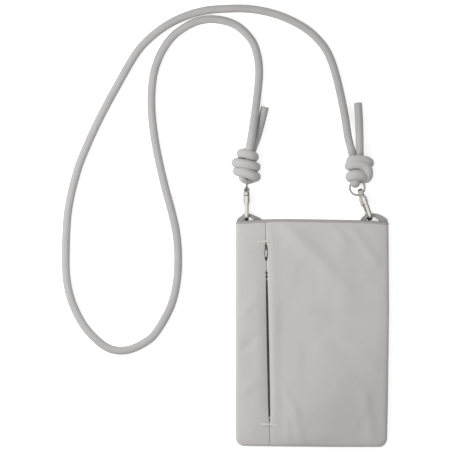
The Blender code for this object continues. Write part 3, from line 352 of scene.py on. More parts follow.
# %% [markdown]
# Sweeping a section along a path makes the cord, the knots, the rings and the fabric
# loops. The sweep carries its frame along the path without twisting it, and it writes the
# length along the path into the UV map, so a weave or a braid follows the piece. The quads
# over a grid of points are made in one place, because the cloth panels need them too.

# %% Paths
PATH_SAMPLES = 16


def distances(path):
    """How far along a line of points each of them lies."""
    steps = np.linalg.norm(np.diff(np.asarray(path), axis=0), axis=1)
    return np.concatenate([[0.0], np.cumsum(steps)])


def smooth_path(points, spacing, closed=False):
    """Even points, a spacing apart, on a smooth curve through the given points."""
    places = [Vector(point) for point in points]
    if closed:
        padded = [places[-1]] + places + places[:2]
    else:
        padded = [2 * places[0] - places[1]] + places + [2 * places[-1] - places[-2]]
    fine = []
    for before, start, end, after in zip(padded, padded[1:], padded[2:], padded[3:]):
        for sample in range(PATH_SAMPLES):
            t = sample / PATH_SAMPLES
            fine.append(0.5 * (2 * start + (end - before) * t
                               + (2 * before - 5 * start + 4 * end - after) * t ** 2
                               + (3 * start - before - 3 * end + after) * t ** 3))
    track = np.array(fine + [padded[-2]])
    lengths = distances(track)
    targets = np.linspace(0.0, lengths[-1], max(2, round(lengths[-1] / spacing)) + 1)
    if closed:
        targets = targets[:-1]
    return np.stack([np.interp(targets, lengths, track[:, axis]) for axis in range(3)], axis=1)


def path_frames(path, side=None, closed=False):
    """Two directions across the path at each point, with no twist between points."""
    if closed:
        ahead = np.roll(path, -1, axis=0) - np.roll(path, 1, axis=0)
    else:
        ahead = np.gradient(path, axis=0)
    ahead /= np.linalg.norm(ahead, axis=1)[:, None]
    if side is not None:
        across = np.cross(ahead, np.asarray(side, float))
        across /= np.linalg.norm(across, axis=1)[:, None]
        return across, np.cross(across, ahead)
    across = np.zeros_like(path)
    start = np.cross(ahead[0], (0.0, 0.0, 1.0))
    across[0] = start / np.linalg.norm(start)
    for index in range(1, len(path)):
        carried = across[index - 1] - ahead[index] * across[index - 1].dot(ahead[index])
        across[index] = carried / np.linalg.norm(carried)
    return across, np.cross(across, ahead)


# %% Sweep helpers


def skin(points, uv=None, wrap_rows=False, wrap_columns=False, flip=False):
    """Smooth quads over a grid of points. UV holds the U of each column and V of each row."""
    rows, columns = points.shape[:2]
    builder = bmesh.new()
    layer = builder.loops.layers.uv.new("UVMap") if uv else None
    verts = [[builder.verts.new(place) for place in row] for row in points]
    for row in range(rows if wrap_rows else rows - 1):
        for column in range(columns if wrap_columns else columns - 1):
            corners = [(row, column), (row, column + 1), (row + 1, column + 1), (row + 1, column)]
            if flip:
                corners = corners[::-1]
            face = builder.faces.new([verts[r % rows][c % columns] for r, c in corners])
            face.smooth = True
            for loop, (r, c) in zip(face.loops, corners if uv else []):
                loop[layer].uv = (uv[0][c], uv[1][r])
    return builder, verts, layer


def sweep(name, path, section, side=None, closed=False, girth=1.0):
    """A closed section carried along a path. A section is an array of points, or one array
    for each point of the path. Girth is the section's outline in metres, for a weave."""
    path = np.asarray(path, float)
    across, up = path_frames(path, side, closed)
    sections = np.asarray(section, float)
    if sections.ndim == 2:
        sections = np.broadcast_to(sections, (len(path), *sections.shape))
    rings = path[:, None] + across[:, None] * sections[:, :, :1] + up[:, None] * sections[:, :, 1:]
    sides = rings.shape[1]
    lengths = distances(np.concatenate([path, path[:1]]))
    builder, verts, layer = skin(rings, (np.linspace(0.0, girth, sides + 1), lengths),
                                 wrap_rows=closed, wrap_columns=True)
    if not closed:
        for ring, place in ((verts[0][::-1], 0.0), (verts[-1], lengths[-2])):
            face = builder.faces.new(ring)
            for loop, share in zip(face.loops, np.linspace(0.0, 1.0, sides)):
                loop[layer].uv = (share, place)
    bmesh.ops.recalc_face_normals(builder, faces=builder.faces)
    return placed(name, mesh_from(name, builder))


def turns_round(count):
    """Even angles round a circle."""
    return np.linspace(0.0, 2 * math.pi, count, endpoint=False)


def squared(values, power):
    """Sines or cosines pushed outwards, which squares off their circle."""
    return np.sign(values) * np.abs(values) ** power


def round_section(radius, sides):
    """A circle."""
    turns = turns_round(sides)
    return radius * np.stack([np.cos(turns), np.sin(turns)], axis=1)


def dress(piece, body, material, slot, *nodes):
    """Give a finished piece its material, its body and the solids that it stands for."""
    piece.data.materials.clear()
    piece.data.materials.append(material)
    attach(piece, body)
    if nodes:
        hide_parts(*nodes)
    return piece


# %% [markdown]
# The cord is one piece on the real strap: it runs 1.05 m from knot to knot, lying on the
# table in two wide bends, and rises a little at each knot. Its route repeats the solid
# model's points. The points are listed one by one, as a cord is laid by hand.

# %% The strap cord
CORD_DIAMETER = 7.0 * MM
CORD_SIDES = 28
CORD_SPACING = 1.6 * MM
CORD_REST_HEIGHT = 3.8 * MM
SETTLE_LENGTH = 55.0 * MM
STRAP_LIFTS = (13.6 * MM, 10.1 * MM)
HIDDEN_IN_KNOT = 8.0 * MM
ROUTE_MM = [
    (-54.5, 159.2), (-52.7, 169.0), (-50.6, 182.9), (-48.7, 196.9), (-47.1, 210.8),
    (-46.1, 224.7), (-47.5, 238.6), (-52.7, 252.5), (-65.9, 265.3), (-83.7, 270.6),
    (-101.1, 268.6), (-118.5, 258.5), (-129.2, 245.6), (-135.6, 231.7), (-138.9, 217.7),
    (-140.0, 200.3), (-139.2, 182.9), (-135.4, 156.8), (-128.4, 125.5), (-122.7, 104.6),
    (-118.2, 83.8), (-116.7, 62.9), (-117.9, 42.0), (-123.0, 21.1), (-134.4, 0.2),
    (-144.6, -10.0), (-162.0, -17.5), (-179.4, -14.7), (-196.8, 1.3), (-207.8, 21.1),
    (-213.5, 42.0), (-214.6, 68.1), (-212.5, 104.6), (-205.4, 136.0), (-197.8, 156.8),
    (-185.9, 182.9), (-171.0, 210.8), (-155.0, 238.6), (-143.5, 252.5), (-127.2, 265.3),
    (-109.8, 273.8), (-92.4, 278.5), (-75.0, 279.9), (-57.6, 280.0), (-40.2, 277.4),
    (-22.8, 271.9), (-5.4, 262.5), (6.8, 251.4), (15.1, 238.6), (21.9, 217.7),
    (27.8, 189.9), (31.0, 169.0), (33.4, 159.0),
]
CORD_SECTION = round_section(CORD_DIAMETER / 2, CORD_SIDES)


def laid_path(route_mm, start_lift, end_lift=0.0):
    """A path on the table that rises to a lift at either end."""
    path = smooth_path([(x * MM, y * MM, CORD_REST_HEIGHT) for x, y in route_mm], CORD_SPACING)
    lengths = distances(path)
    for lift, distance in ((start_lift, lengths), (end_lift, lengths[-1] - lengths)):
        if lift:
            share = np.clip(distance / SETTLE_LENGTH, 0.0, 1.0)
            path[:, 2] += (lift - CORD_REST_HEIGHT) * (1 - share * share * (3 - 2 * share))
    return path


def run_on(path):
    """Carry the start of a path on into its knot."""
    back = path[0] - path[1]
    return np.concatenate([[path[0] + back / np.linalg.norm(back) * HIDDEN_IN_KNOT], path])


strap_path = run_on(run_on(laid_path(ROUTE_MM, *STRAP_LIFTS))[::-1])[::-1]
strap_length = float(distances(strap_path)[-1])
strap = dress(sweep("cord_strap", strap_path, CORD_SECTION), "strap",
              make_cord_finish("braided_run", strap_length), "cord_cloth", "strap_cord")
print("strap", round(strap_length, 3), "m")

# %% [markdown]
# The knots. Each one is the same cord: it comes in at the top, runs down through the
# knot, passes through the ring, and winds back up round itself three times before it
# leaves at the top as a short tail. The points are read from the photograph as pixels,
# with a height above the table in millimetres.

# %% Knots and tails
KNOT_SPACING = 0.8 * MM
KNOT_POINTS = {
    "left": [
        (249.6, 152.0, 12.0), (249.0, 158.0, 10.4), (246.5, 166.0, 9.6), (243.4, 172.0, 9.8),
        (242.6, 176.3, 9.4), (243.6, 178.6, 8.4), (246.2, 179.8, 7.3), (250.4, 179.4, 5.6),
        (253.4, 178.0, 4.9), (255.6, 177.4, 6.8), (256.0, 176.6, 10.2), (252.6, 175.6, 14.0),
        (246.4, 173.2, 15.4), (240.2, 171.8, 14.0), (237.3, 171.2, 10.0), (240.2, 170.6, 5.8),
        (246.5, 169.6, 4.5), (252.8, 168.2, 5.8), (256.0, 167.0, 10.0), (252.4, 165.8, 14.0),
        (246.0, 164.3, 15.4), (239.4, 163.2, 14.0), (236.0, 162.8, 10.0), (239.4, 161.8, 5.8),
        (246.5, 160.2, 4.5), (251.9, 158.4, 5.8), (254.2, 157.0, 10.0), (252.0, 155.8, 14.0),
        (247.6, 154.3, 15.3), (243.2, 153.5, 14.0), (241.3, 153.5, 10.0), (243.8, 153.0, 6.2),
        (248.0, 152.0, 5.6), (251.4, 151.0, 6.2)],
    "right": [
        (352.4, 157.0, 10.2), (354.2, 162.0, 10.0), (355.2, 168.0, 9.8), (355.4, 174.0, 10.6),
        (355.3, 178.0, 11.4), (355.1, 181.2, 10.8), (355.0, 182.6, 9.0), (355.1, 182.8, 7.0),
        (355.4, 181.8, 5.0), (356.4, 180.0, 4.5), (360.0, 178.0, 4.6), (362.6, 176.6, 6.2),
        (363.6, 175.8, 10.2), (360.8, 175.2, 13.8), (355.8, 175.0, 14.8), (352.2, 175.8, 13.6),
        (350.7, 176.8, 10.0), (352.0, 177.2, 5.8), (356.4, 178.0, 4.6), (362.6, 178.6, 4.8),
        (366.8, 177.8, 8.6), (368.3, 174.2, 12.4), (367.4, 169.4, 14.8), (363.2, 165.7, 15.4),
        (357.2, 164.2, 15.4), (351.8, 164.8, 14.0), (349.1, 166.0, 10.0), (351.6, 165.6, 5.8),
        (358.6, 164.2, 4.5), (366.2, 163.6, 5.6), (369.3, 163.2, 9.6), (367.2, 161.4, 13.0),
        (362.0, 160.2, 14.0), (356.2, 159.8, 14.2), (352.4, 160.2, 13.0), (350.6, 161.0, 10.0),
        (352.0, 160.0, 6.4), (355.0, 158.6, 6.4), (358.2, 157.4, 7.8)],
}
# Number of the point along the knot, then the strand's radius there in mm
KNOT_RADII = {
    "left": ([0, 3, 5, 7, 9, 10, 32, 33], [3.4, 3.5, 3.7, 3.7, 3.9, 4.1, 4.1, 3.6]),
    "right": ([0, 3, 5, 8, 10, 12, 16, 19, 36, 38],
              [3.4, 3.8, 4.5, 4.3, 4.2, 4.9, 4.8, 4.1, 4.1, 3.5]),
}
TAIL_LIFTS = {"left": 6.2 * MM, "right": 10.1 * MM}
TAIL_ROUTES_MM = {
    "left": [(-51.2, 159.2), (-47.6, 169.0), (-44.6, 180.0), (-41.0, 194.2)],
    "right": [(41.2, 159.0), (41.1, 171.0), (40.7, 184.0), (40.0, 197.8)],
}


def make_knot(side):
    """One knot, wound from a single strand."""
    places = [Vector((*from_picture(x, y), z * MM)) for x, y, z in KNOT_POINTS[side]]
    path = smooth_path(places, KNOT_SPACING)
    marks = distances(places)
    numbers, radii_mm = KNOT_RADII[side]
    radii = np.interp(np.linspace(0.0, 1.0, len(path)), marks[numbers] / marks[-1], radii_mm) * MM
    rings = round_section(1.0, CORD_SIDES)[None] * radii[:, None, None]
    knot = sweep("knot_wound_" + side, path, rings)
    return dress(knot, "strap", CORD_FINISH, "cord_cloth", "knot_" + side)


def make_tail(side):
    """A short tail, cut off flat."""
    path = run_on(laid_path(TAIL_ROUTES_MM[side], TAIL_LIFTS[side]))
    tail = sweep("cord_tail_" + side, path, CORD_SECTION)
    return dress(tail, "strap", TAIL_FINISH, "cord_cloth", "tail_" + side)


knot_left = make_knot("left")
knot_right = make_knot("right")
tail_left = make_tail("left")
tail_right = make_tail("right")
print("knots and tails made")

# %% [markdown]
# The cloth of the pouch is a smooth, matt nylon. A plain weave this fine can't be seen as
# threads from a step away, but it breaks up the light, so it is a low bump that follows
# the piece's UV map. Broad, faint patches of tone keep it from looking printed, and the
# lower right corner has a little painted shade, which darkens it as in the photograph.

# %% Nylon finish
NYLON_DARK = (0.481, 0.468, 0.456)
NYLON_LIGHT = (0.534, 0.521, 0.508)
NYLON_WEAVE = 0.62 * MM
NYLON_CORNER_SHADE = 0.10
# Scale and detail of the broad patches of tone and of the uneven threads
PATCHES = (28.0, 4.0)
SLUBS = (420.0, 2.0)
CLOTH_SHEEN = {"Sheen Weight": 0.10, "Sheen Roughness": 0.45, "Specular IOR Level": 0.30}
# Painted shade at the lower right corner: its direction, where it starts and how far it fades in
CORNER_SHADE_TOWARDS = (0.6, -0.8, 0.0)
CORNER_SHADE_START = 34.0 * MM
CORNER_SHADE_FADE = 42.0 * MM


def make_cloth_finish(name, dark, light, pitch, depth, roughness, corner_shade=0.0):
    """A plain woven cloth between two close tones, with painted shade that darkens it a little towards
    one corner.
    """
    material, tree, shader = principled(name, light, roughness, CLOTH_SHEEN)
    coordinate, *axes = uv_axes(tree)
    waves = [calc(tree, "SINE", calc(tree, "MULTIPLY", axis, 2 * math.pi / pitch))
             for axis in axes]
    height = calc(tree, "MULTIPLY_ADD", calc(tree, "MULTIPLY", *waves), 0.5, 0.5)
    # The weave's low places are a shade darker: painted shade between the threads, with random patches
    # and slubs
    tone = blend(tree, (height, 0.25), (noise(tree, coordinate, *PATCHES), 0.45),
                 (noise(tree, coordinate, *SLUBS), 0.30))
    # Painted shade: the cloth is darker towards the lower right corner
    towards_corner = add(tree, "ShaderNodeVectorMath",
                         {0: coordinate.outputs["Object"], 1: CORNER_SHADE_TOWARDS},
                         operation="DOT_PRODUCT").outputs["Value"]
    corner = calc(tree, "MULTIPLY_ADD", towards_corner, 1 / CORNER_SHADE_FADE, -CORNER_SHADE_START / CORNER_SHADE_FADE)
    corner.node.use_clamp = True
    shade = calc(tree, "MULTIPLY_ADD", corner, -corner_shade, 1.0)
    colour = darkened(tree, ramp(tree, tone, dark, light), shade)
    finish_surface(tree, shader, colour, height, depth)
    return material


NYLON = make_cloth_finish("matt_nylon", NYLON_DARK, NYLON_LIGHT, NYLON_WEAVE, 0.035 * MM, 0.62,
                          NYLON_CORNER_SHADE)
EDGE_CLOTH = make_cloth_finish("edge_cloth", (0.326, 0.318, 0.308), (0.395, 0.384, 0.373),
                               0.5 * MM, 0.03 * MM, 0.7)
LINING_CLOTH = make_cloth_finish("lining_cloth", (0.40, 0.39, 0.38), (0.46, 0.45, 0.44),
                                 0.5 * MM, 0.03 * MM, 0.75)
# Dark grey zip tapes: painted shade of the lips over them
ZIP_CLOTH = make_cloth_finish("zip_tape_weave", (0.055, 0.055, 0.057), (0.085, 0.085, 0.088),
                              0.42 * MM, 0.05 * MM, 0.8)
print("nylon weave", NYLON_WEAVE / MM, "mm")

# %% [markdown]
# The pouch is a flat bag with a gentle crown. Its front is two panels sewn together, with
# the slit of the zip pocket left open between them. Each panel is one grid of quads: its
# columns run from the slit's lip to the side seam, where the cloth turns down over the
# edge, and its rows run from the base seam to the mouth. Distances along the turned edge
# are measured on the cloth, so the squares of the grid stay even round the bend.

# %% Outline of the pouch, read from the photograph
CORNER_RADIUS = 7.0 * MM
# Walls in mm: inset from the edge, height above the table
FRONT_WALL_MM = [(0.9, 5.0), (0.35, 5.15), (0.06, 5.8), (0.0, 6.8), (0.03, 8.6), (0.12, 10.4),
                 (0.35, 12.0), (0.75, 13.15), (1.35, 13.85), (2.2, 14.25), (3.4, 14.5),
                 (5.2, 14.68), (8.0, 14.82), (12.0, 14.92), (18.0, 14.98), (26.0, 15.0)]
BACK_WALL_MM = [(0.9, 5.0), (0.35, 4.85), (0.06, 4.3), (0.0, 3.4), (0.12, 2.3), (0.55, 1.2),
                (1.4, 0.45), (2.8, 0.1), (5.0, 0.02), (8.0, 0.0)]
# Edges in mm: places along the edge, the edge's line there
LEFT_EDGE = ([-101.0, 95.0], [-66.5, -66.4])
RIGHT_EDGE = ([-101.0, -97.0, -60.0, 17.0, 80.0, 95.0], [64.9, 65.2, 65.95, 66.95, 66.55, 66.3])
BASE_EDGE = ([-66.0, -40.0, 0.0, 17.0, 66.0], [-100.5, -100.9, -101.3, -101.5, -101.5])
TOP_EDGE = ([-66.5, -55.0, -40.0, -28.0, 0.0, 25.0, 45.0, 58.0, 66.5],
            [94.4, 95.1, 96.1, 96.5, 96.2, 95.8, 95.3, 94.5, 93.5])
EDGE_SPREAD_MM = 4.0
WALL_STEP = 0.15 * MM
HEM_HEIGHT = 1.3 * MM
SLIT_ENDS_MM = ((-40.2, 75.7), (-37.1, -79.5))


def edge_value(table, at):
    """A smooth value between the rows of a table in millimetres."""
    places, values = table
    at = np.asarray(at, float) / MM
    parts = [np.interp(at + shift, places, values)
             for shift in (0.0, -EDGE_SPREAD_MM, EDGE_SPREAD_MM)]
    return sum(parts) / 3 * MM


def risen(value, start, span):
    """0 up to a start, 1 from a span beyond it on, and even between them."""
    return np.clip((value - start) / span, 0.0, 1.0)


def wall_curve(points_mm):
    """A wall's profile by the distance along its cloth: that distance, inset and height."""
    fine = smooth_path([(inset * MM, height * MM, 0.0) for inset, height in points_mm], WALL_STEP)
    return distances(fine), fine[:, 0], fine[:, 1]


def seam_x(y):
    """The line of the slit and its seam."""
    (top_x, top_y), (base_x, base_y) = SLIT_ENDS_MM
    share = (np.asarray(y) / MM - base_y) / (top_y - base_y)
    return (base_x + (top_x - base_x) * share) * MM


# %% [markdown]
# The slit opens and closes along its length as the photograph shows: sewn shut at both
# ends, open round the pull near the top, pressed together below it, and then open as a
# narrow mouth almost to the lower bar tack. Half of its width is read off by the pixel row.
# Soft folds are ridges with round sections, and one is a hollow: a diagonal one comes from
# the mouth, and the others lie beside the slit, at the right edge and along the base.

# %% Slit and soft folds
SLIT_ROWS = [200.0, 243.0, 244.4, 245.6, 247.2, 248.4, 256.8, 258.6, 260.2, 261.4, 271.0, 272.2,
             273.4, 274.8, 276.0, 277.2, 278.6, 280.2, 300.0, 350.0, 400.0, 416.0, 420.2, 421.4,
             460.0]
SLIT_HALF_WIDTHS = [0.02, 0.02, 0.55, 0.95, 0.45, 0.80, 0.82, 1.05, 0.40, 0.02, 0.02, 0.85,
                    0.75, 0.15, 0.80, 0.85, 0.03, 0.60, 0.80, 0.88, 0.80, 0.66, 0.55, 0.04,
                    0.02]
LOOSE_ROWS = (241.0, 424.0)
LOOSE_FADE = 5.0
LIP_MM = [(1.5, -2.1), (0.75, -2.05), (0.25, -1.75), (0.02, -1.25), (0.0, -0.8), (0.14, -0.38),
          (0.45, -0.12), (0.95, 0.0), (1.7, 0.0), (2.8, 0.0), (4.4, 0.0), (6.4, 0.0)]
SEAM_MM = [(0.5, -2.1), (0.3, -2.0), (0.15, -1.6), (0.03, -1.2), (0.0, -0.85), (0.06, -0.45),
           (0.3, -0.16), (0.8, -0.02), (1.6, 0.0), (2.8, 0.0), (4.4, 0.0), (6.4, 0.0)]
# Soft folds: start pixel, end pixel, half width in mm, height in mm
FOLDS = [
    ((280, 220), (326, 268), 7.5, 2.1), ((345, 218), (374, 260), 4.2, 1.05),
    ((326, 220), (344, 240), 3.4, 0.60), ((342, 246), (346, 300), 10.0, 1.10),
    ((312, 300), (326, 372), 12.0, 0.60), ((344, 338), (372, 362), 5.5, 0.90),
    ((277, 380), (294, 410), 4.6, 0.75), ((294, 410), (303, 448), 4.0, 0.80),
    ((287, 422), (288, 450), 2.6, 0.50), ((366, 400), (372, 446), 4.4, 0.85),
    ((312, 400), (314, 456), 27.0, 2.2), ((234, 322), (256, 300), 3.0, 0.60),
    ((234, 356), (256, 338), 3.4, -0.65), ((234, 398), (256, 380), 3.4, 0.65),
    ((240, 246), (262, 268), 5.0, 0.40), ((240, 420), (262, 436), 4.5, 0.50),
    ((368, 280), (388, 300), 5.0, 0.40),
]
FOLD_END = 1.6


def fold_height(x, y):
    """The height that the soft folds add at a place."""
    total = np.zeros_like(x)
    for start, end, half_width, height in FOLDS:
        start_x, start_y = from_picture(*start)
        run = np.subtract(from_picture(*end), (start_x, start_y))
        length = np.linalg.norm(run)
        run = run / length
        along = (x - start_x) * run[0] + (y - start_y) * run[1]
        across = (y - start_y) * run[0] - (x - start_x) * run[1]
        past = np.maximum(np.maximum(-along, along - length), 0.0)
        fade = np.exp(-(past / (half_width * FOLD_END * MM)) ** 2)
        total += height * MM * fade * np.exp(-(across / (half_width * MM)) ** 2)
    return total


def slit_half_width(y):
    """Half of the slit's width at a height on the pouch."""
    return np.interp(picture_row(y), SLIT_ROWS, SLIT_HALF_WIDTHS) * MM


def slit_share(y):
    """1 where the lips are loose, 0 where the two panels are sewn together."""
    row = picture_row(y)
    return risen(row, LOOSE_ROWS[0], LOOSE_FADE) * risen(-row, -LOOSE_ROWS[1], LOOSE_FADE)


# %% [markdown]
# A little slack in the cloth can't be drawn by hand. So a coarse sheet the size of the
# front is let go by Blender's cloth simulation for a few frames, held at its edges and a
# trifle too large for them, and the low waves it settles into are added to the front.

# %% Slack of the front cloth
SLACK_GRID = (40, 58)
SLACK_HALF_SIZE = (62.0 * MM, 94.0 * MM)
SLACK_FRAMES = 18
SLACK_LIMIT = 0.30 * MM
SLACK_SEED = 7
SLACK_RIPPLE = 0.04 * MM
SLACK_HELD_FROM = 0.99
# Rounds of averaging that drop the shortest waves, and those that leave only the broad bulge
SLACK_CALMING = (9, 60)
SLACK_SETTINGS = {"quality": 6, "mass": 0.12, "tension_stiffness": 12,
                  "compression_stiffness": 12, "bending_stiffness": 0.35, "shrink_min": -0.020,
                  "vertex_group_mass": "held", "use_pressure": True,
                  "uniform_pressure_force": 0.25}


def spread_out(heights, rounds):
    """A grid of heights with its short waves averaged away."""
    calm = heights.copy()
    for _ in range(rounds):
        calm[1:-1, 1:-1] = (calm[:-2, 1:-1] + calm[2:, 1:-1] + calm[1:-1, :-2]
                            + calm[1:-1, 2:]) / 4
    return calm


def simulate_slack():
    """Heights of a slack sheet, held round its edge, as a grid of rows and columns."""
    columns, rows = SLACK_GRID
    half_width, half_length = SLACK_HALF_SIZE
    builder = bmesh.new()
    bmesh.ops.create_grid(builder, x_segments=columns, y_segments=rows, size=1.0)
    bmesh.ops.scale(builder, vec=(half_width, half_length, 1.0), verts=builder.verts)
    ripple = np.random.default_rng(SLACK_SEED)
    for vert in builder.verts:
        vert.co.z = float(ripple.normal(0.0, SLACK_RIPPLE))
    sheet = placed("slack_sheet", mesh_from("slack_sheet", builder))
    places = np.array([vert.co for vert in sheet.data.vertices])
    outside = np.abs(places[:, :2]) > np.array(SLACK_HALF_SIZE) * SLACK_HELD_FROM
    held = sheet.vertex_groups.new(name="held")
    held.add(np.flatnonzero(outside.any(axis=1)).tolist(), 1.0, "REPLACE")
    cloth = modify(sheet, "CLOTH")
    set_all(cloth.settings, SLACK_SETTINGS)
    cloth.settings.effector_weights.gravity = 0.0
    cloth.point_cache.frame_end = SLACK_FRAMES
    for number in range(1, SLACK_FRAMES + 1):
        bpy.context.scene.frame_set(number)
    graph = bpy.context.evaluated_depsgraph_get()
    settled = np.array([vert.co for vert in sheet.evaluated_get(graph).data.vertices])
    bpy.data.objects.remove(sheet, do_unlink=True)
    bpy.context.scene.frame_set(1)
    order = np.lexsort((np.round(places[:, 0], 6), np.round(places[:, 1], 6)))
    soft = spread_out(settled[order, 2].reshape(rows + 1, columns + 1), SLACK_CALMING[0])
    heights = soft - spread_out(soft, SLACK_CALMING[1])
    print("slack sheet moved", round(float(np.abs(heights).max()) / MM, 2), "mm")
    return np.clip(heights, -SLACK_LIMIT, SLACK_LIMIT)


SLACK = simulate_slack()


def slack_height(x, y):
    """The settled sheet's height at a place on the front."""
    column, row = [np.clip((place / half + 1) / 2 * count, 0, count - 1e-6)
                   for place, half, count in zip((x, y), SLACK_HALF_SIZE, SLACK_GRID)]
    c = column.astype(int)
    r = row.astype(int)
    low = SLACK[r, c] * (1 - column + c) + SLACK[r, c + 1] * (column - c)
    high = SLACK[r + 1, c] * (1 - column + c) + SLACK[r + 1, c + 1] * (column - c)
    return low * (1 - row + r) + high * (row - r)


# %% [markdown]
# The grid itself. Every point has a distance from the side seam and from the base seam,
# both measured along the cloth. The nearer of the two sets its height, blended softly near
# the corner, and the plan of the corner is bent from a square to an arc.

# %% Panel helpers


def soft_minimum(first, second):
    """The smaller of two distances, rounded off where they are alike."""
    least = np.minimum(first, second)
    reach = 0.6 * least + 1e-9
    overlap = np.maximum(reach - np.abs(first - second), 0.0) / reach
    return least - overlap * overlap * reach / 4


def inset_distance(wall, inset):
    """How far along the cloth a wall comes to an inset."""
    edge = int(np.argmin(wall[1]))
    return float(np.interp(inset, wall[1][edge:], wall[0][edge:]))


def bent_corner(wall, to_side, to_base, inset_x, inset_y):
    """Bend the square corner of a plan into an arc, one arc for each line of the cloth."""
    reach = inset_distance(wall, CORNER_RADIUS)
    nearer = np.maximum(reach - np.minimum(to_side, to_base), 1e-9)
    farther = reach - np.maximum(to_side, to_base)
    by_side = to_side <= to_base
    angle = 0.5 * farther / nearer * math.pi / 2
    angle = np.where(by_side, angle, math.pi / 2 - angle)
    span = CORNER_RADIUS - np.where(by_side, inset_x, inset_y)
    return (np.where(farther > 0, CORNER_RADIUS - span * np.cos(angle), inset_x),
            np.where(farther > 0, CORNER_RADIUS - span * np.sin(angle), inset_y))


def rows_up(wall, wall_rows, shares):
    """For each row: distance up the base's wall, inset there, share of the way to the mouth."""
    low = np.concatenate([wall_rows, np.full(len(shares), wall_rows[-1])])[:, None]
    share = np.concatenate([np.zeros(len(wall_rows)), shares])[:, None]
    return low, np.interp(low, wall[0], wall[1]), share


def climb(x, low, low_inset, share):
    """Lines of the base and the mouth, the place between them and the distance up the cloth."""
    base_y = edge_value(BASE_EDGE, x)
    top_y = edge_value(TOP_EDGE, x) - HEM_HEIGHT
    rise = (top_y - base_y - low_inset[-1]) * share
    return base_y, top_y, base_y + low_inset + rise, low + rise


def grid_piece(name, points, flip=False, wrap=False):
    """A mesh from a grid of points, with a UV map measured along the cloth."""
    middle_row = points[len(points) // 2]
    if wrap:
        middle_row = np.concatenate([middle_row, middle_row[:1]])
    uv = (distances(middle_row), distances(points[:, len(middle_row) // 2]))
    builder = skin(points, uv, wrap_columns=wrap, flip=flip)[0]
    return placed(name, mesh_from(name, builder))


def finish_cloth(piece, thickness=0.0, levels=1):
    """Smooth a cloth grid and give it its thickness."""
    modify(piece, "SUBSURF", levels=levels, render_levels=levels)
    if thickness:
        modify(piece, "SOLIDIFY", thickness=thickness, offset=-1.0, use_quality_normals=True)
    return piece


# %% [markdown]
# The front panels. After the grid is laid out, the folds and the slack raise it, less near
# the seams and the mouth, and the cloth beside the slit falls towards it: in a broad slope
# on the left, and on the right off a low crest, which is the light line beside the slit.

# %% Front panels
CLOTH_THICKNESS = 0.8 * MM
GRID_STEP = 1.7 * MM
PANEL_LENGTH = 197.0 * MM
PANEL_BASE = 101.3 * MM
NARROW_WALL_INSET = 17.5 * MM
WALL_LINES = np.linspace(0.0, 1.0, 20) ** 1.25
# Pixel rows where the slit's shape changes, and how far round them the grid is finer
BUSY_ROWS = [(261.0, 24.0), (420.0, 8.0)]
# Left and right of the slit, in millimetres: depth and half width of the fall, then rise,
# distance and half width of the crest beyond it
LIP_SHAPES = {-1: (1.9, 4.4, 0.15, 10.5, 3.0), 1: (1.7, 2.4, 1.3, 4.8, 5.2)}
LIP_ROWS = [230.0, 243.0, 252.0, 262.0, 285.0, 320.0, 400.0, 420.0, 430.0, 446.0]
LIP_STRENGTH = [0.15, 0.30, 0.50, 0.50, 0.65, 1.0, 1.0, 0.6, 0.22, 0.15]
MOUTH_DROP = 1.0 * MM
MOUTH_REACH = 26.0 * MM
# Where each fade starts, and its span: folds off the outer seams, off the slit and off the
# mouth, the lip's roll off the base, and the drop of the mouth off the outer seams
FOLDS_OFF_SEAM = (6 * MM, 12 * MM)
FOLDS_OFF_SLIT = (6 * MM, 9 * MM)
FOLDS_OFF_MOUTH = (2 * MM, 8 * MM)
ROLL_OFF_BASE = (0.0, 5 * MM)
DROP_OFF_SEAM = (0.0, 8 * MM)
# Rows for each grid step up a panel, and what the busy rows add to their density
ROW_SAMPLES = 2000
ROW_RATE = 1.45
BUSY_RATE = 2.4


def fine_rows(length, base_span):
    """Shares of the way up a panel, closer together where the slit's shape changes."""
    places = np.linspace(0.0, 1.0, ROW_SAMPLES)
    row = picture_row(places * length + base_span - PANEL_BASE)
    busy = np.max([np.clip(1 - np.abs(row - middle) / reach, 0.0, 0.5) * 2
                   for middle, reach in BUSY_ROWS], axis=0)
    density = np.cumsum(1.0 + BUSY_RATE * busy)
    density = (density - density[0]) / (density[-1] - density[0])
    count = round(length / GRID_STEP * ROW_RATE)
    return np.interp(np.linspace(0.0, 1.0, count + 1), density, places)[1:]


def front_columns(wall, side, outer_edge, lip):
    """For each column: distance in from the side, share of the way to the lip, lip's point."""
    end = wall[0][-1] if side > 0 else inset_distance(wall, NARROW_WALL_INSET)
    span = abs(float(edge_value(outer_edge, 0.0)) - float(seam_x(0.0)))
    inner_span = span - np.interp(end, wall[0], wall[1]) - lip[-1, 0]
    inner = np.linspace(0.0, 1.0, max(2, round(inner_span / GRID_STEP)) + 1)[1:-1]
    reach = np.concatenate([WALL_LINES * end, np.full(len(inner) + len(lip), end)])
    across = np.concatenate([np.zeros(len(WALL_LINES)), inner, np.ones(len(lip))])
    last = len(lip) - 1
    spot = np.concatenate([np.full(len(WALL_LINES) + len(inner), last), np.arange(last, -1, -1)])
    return reach, across, spot


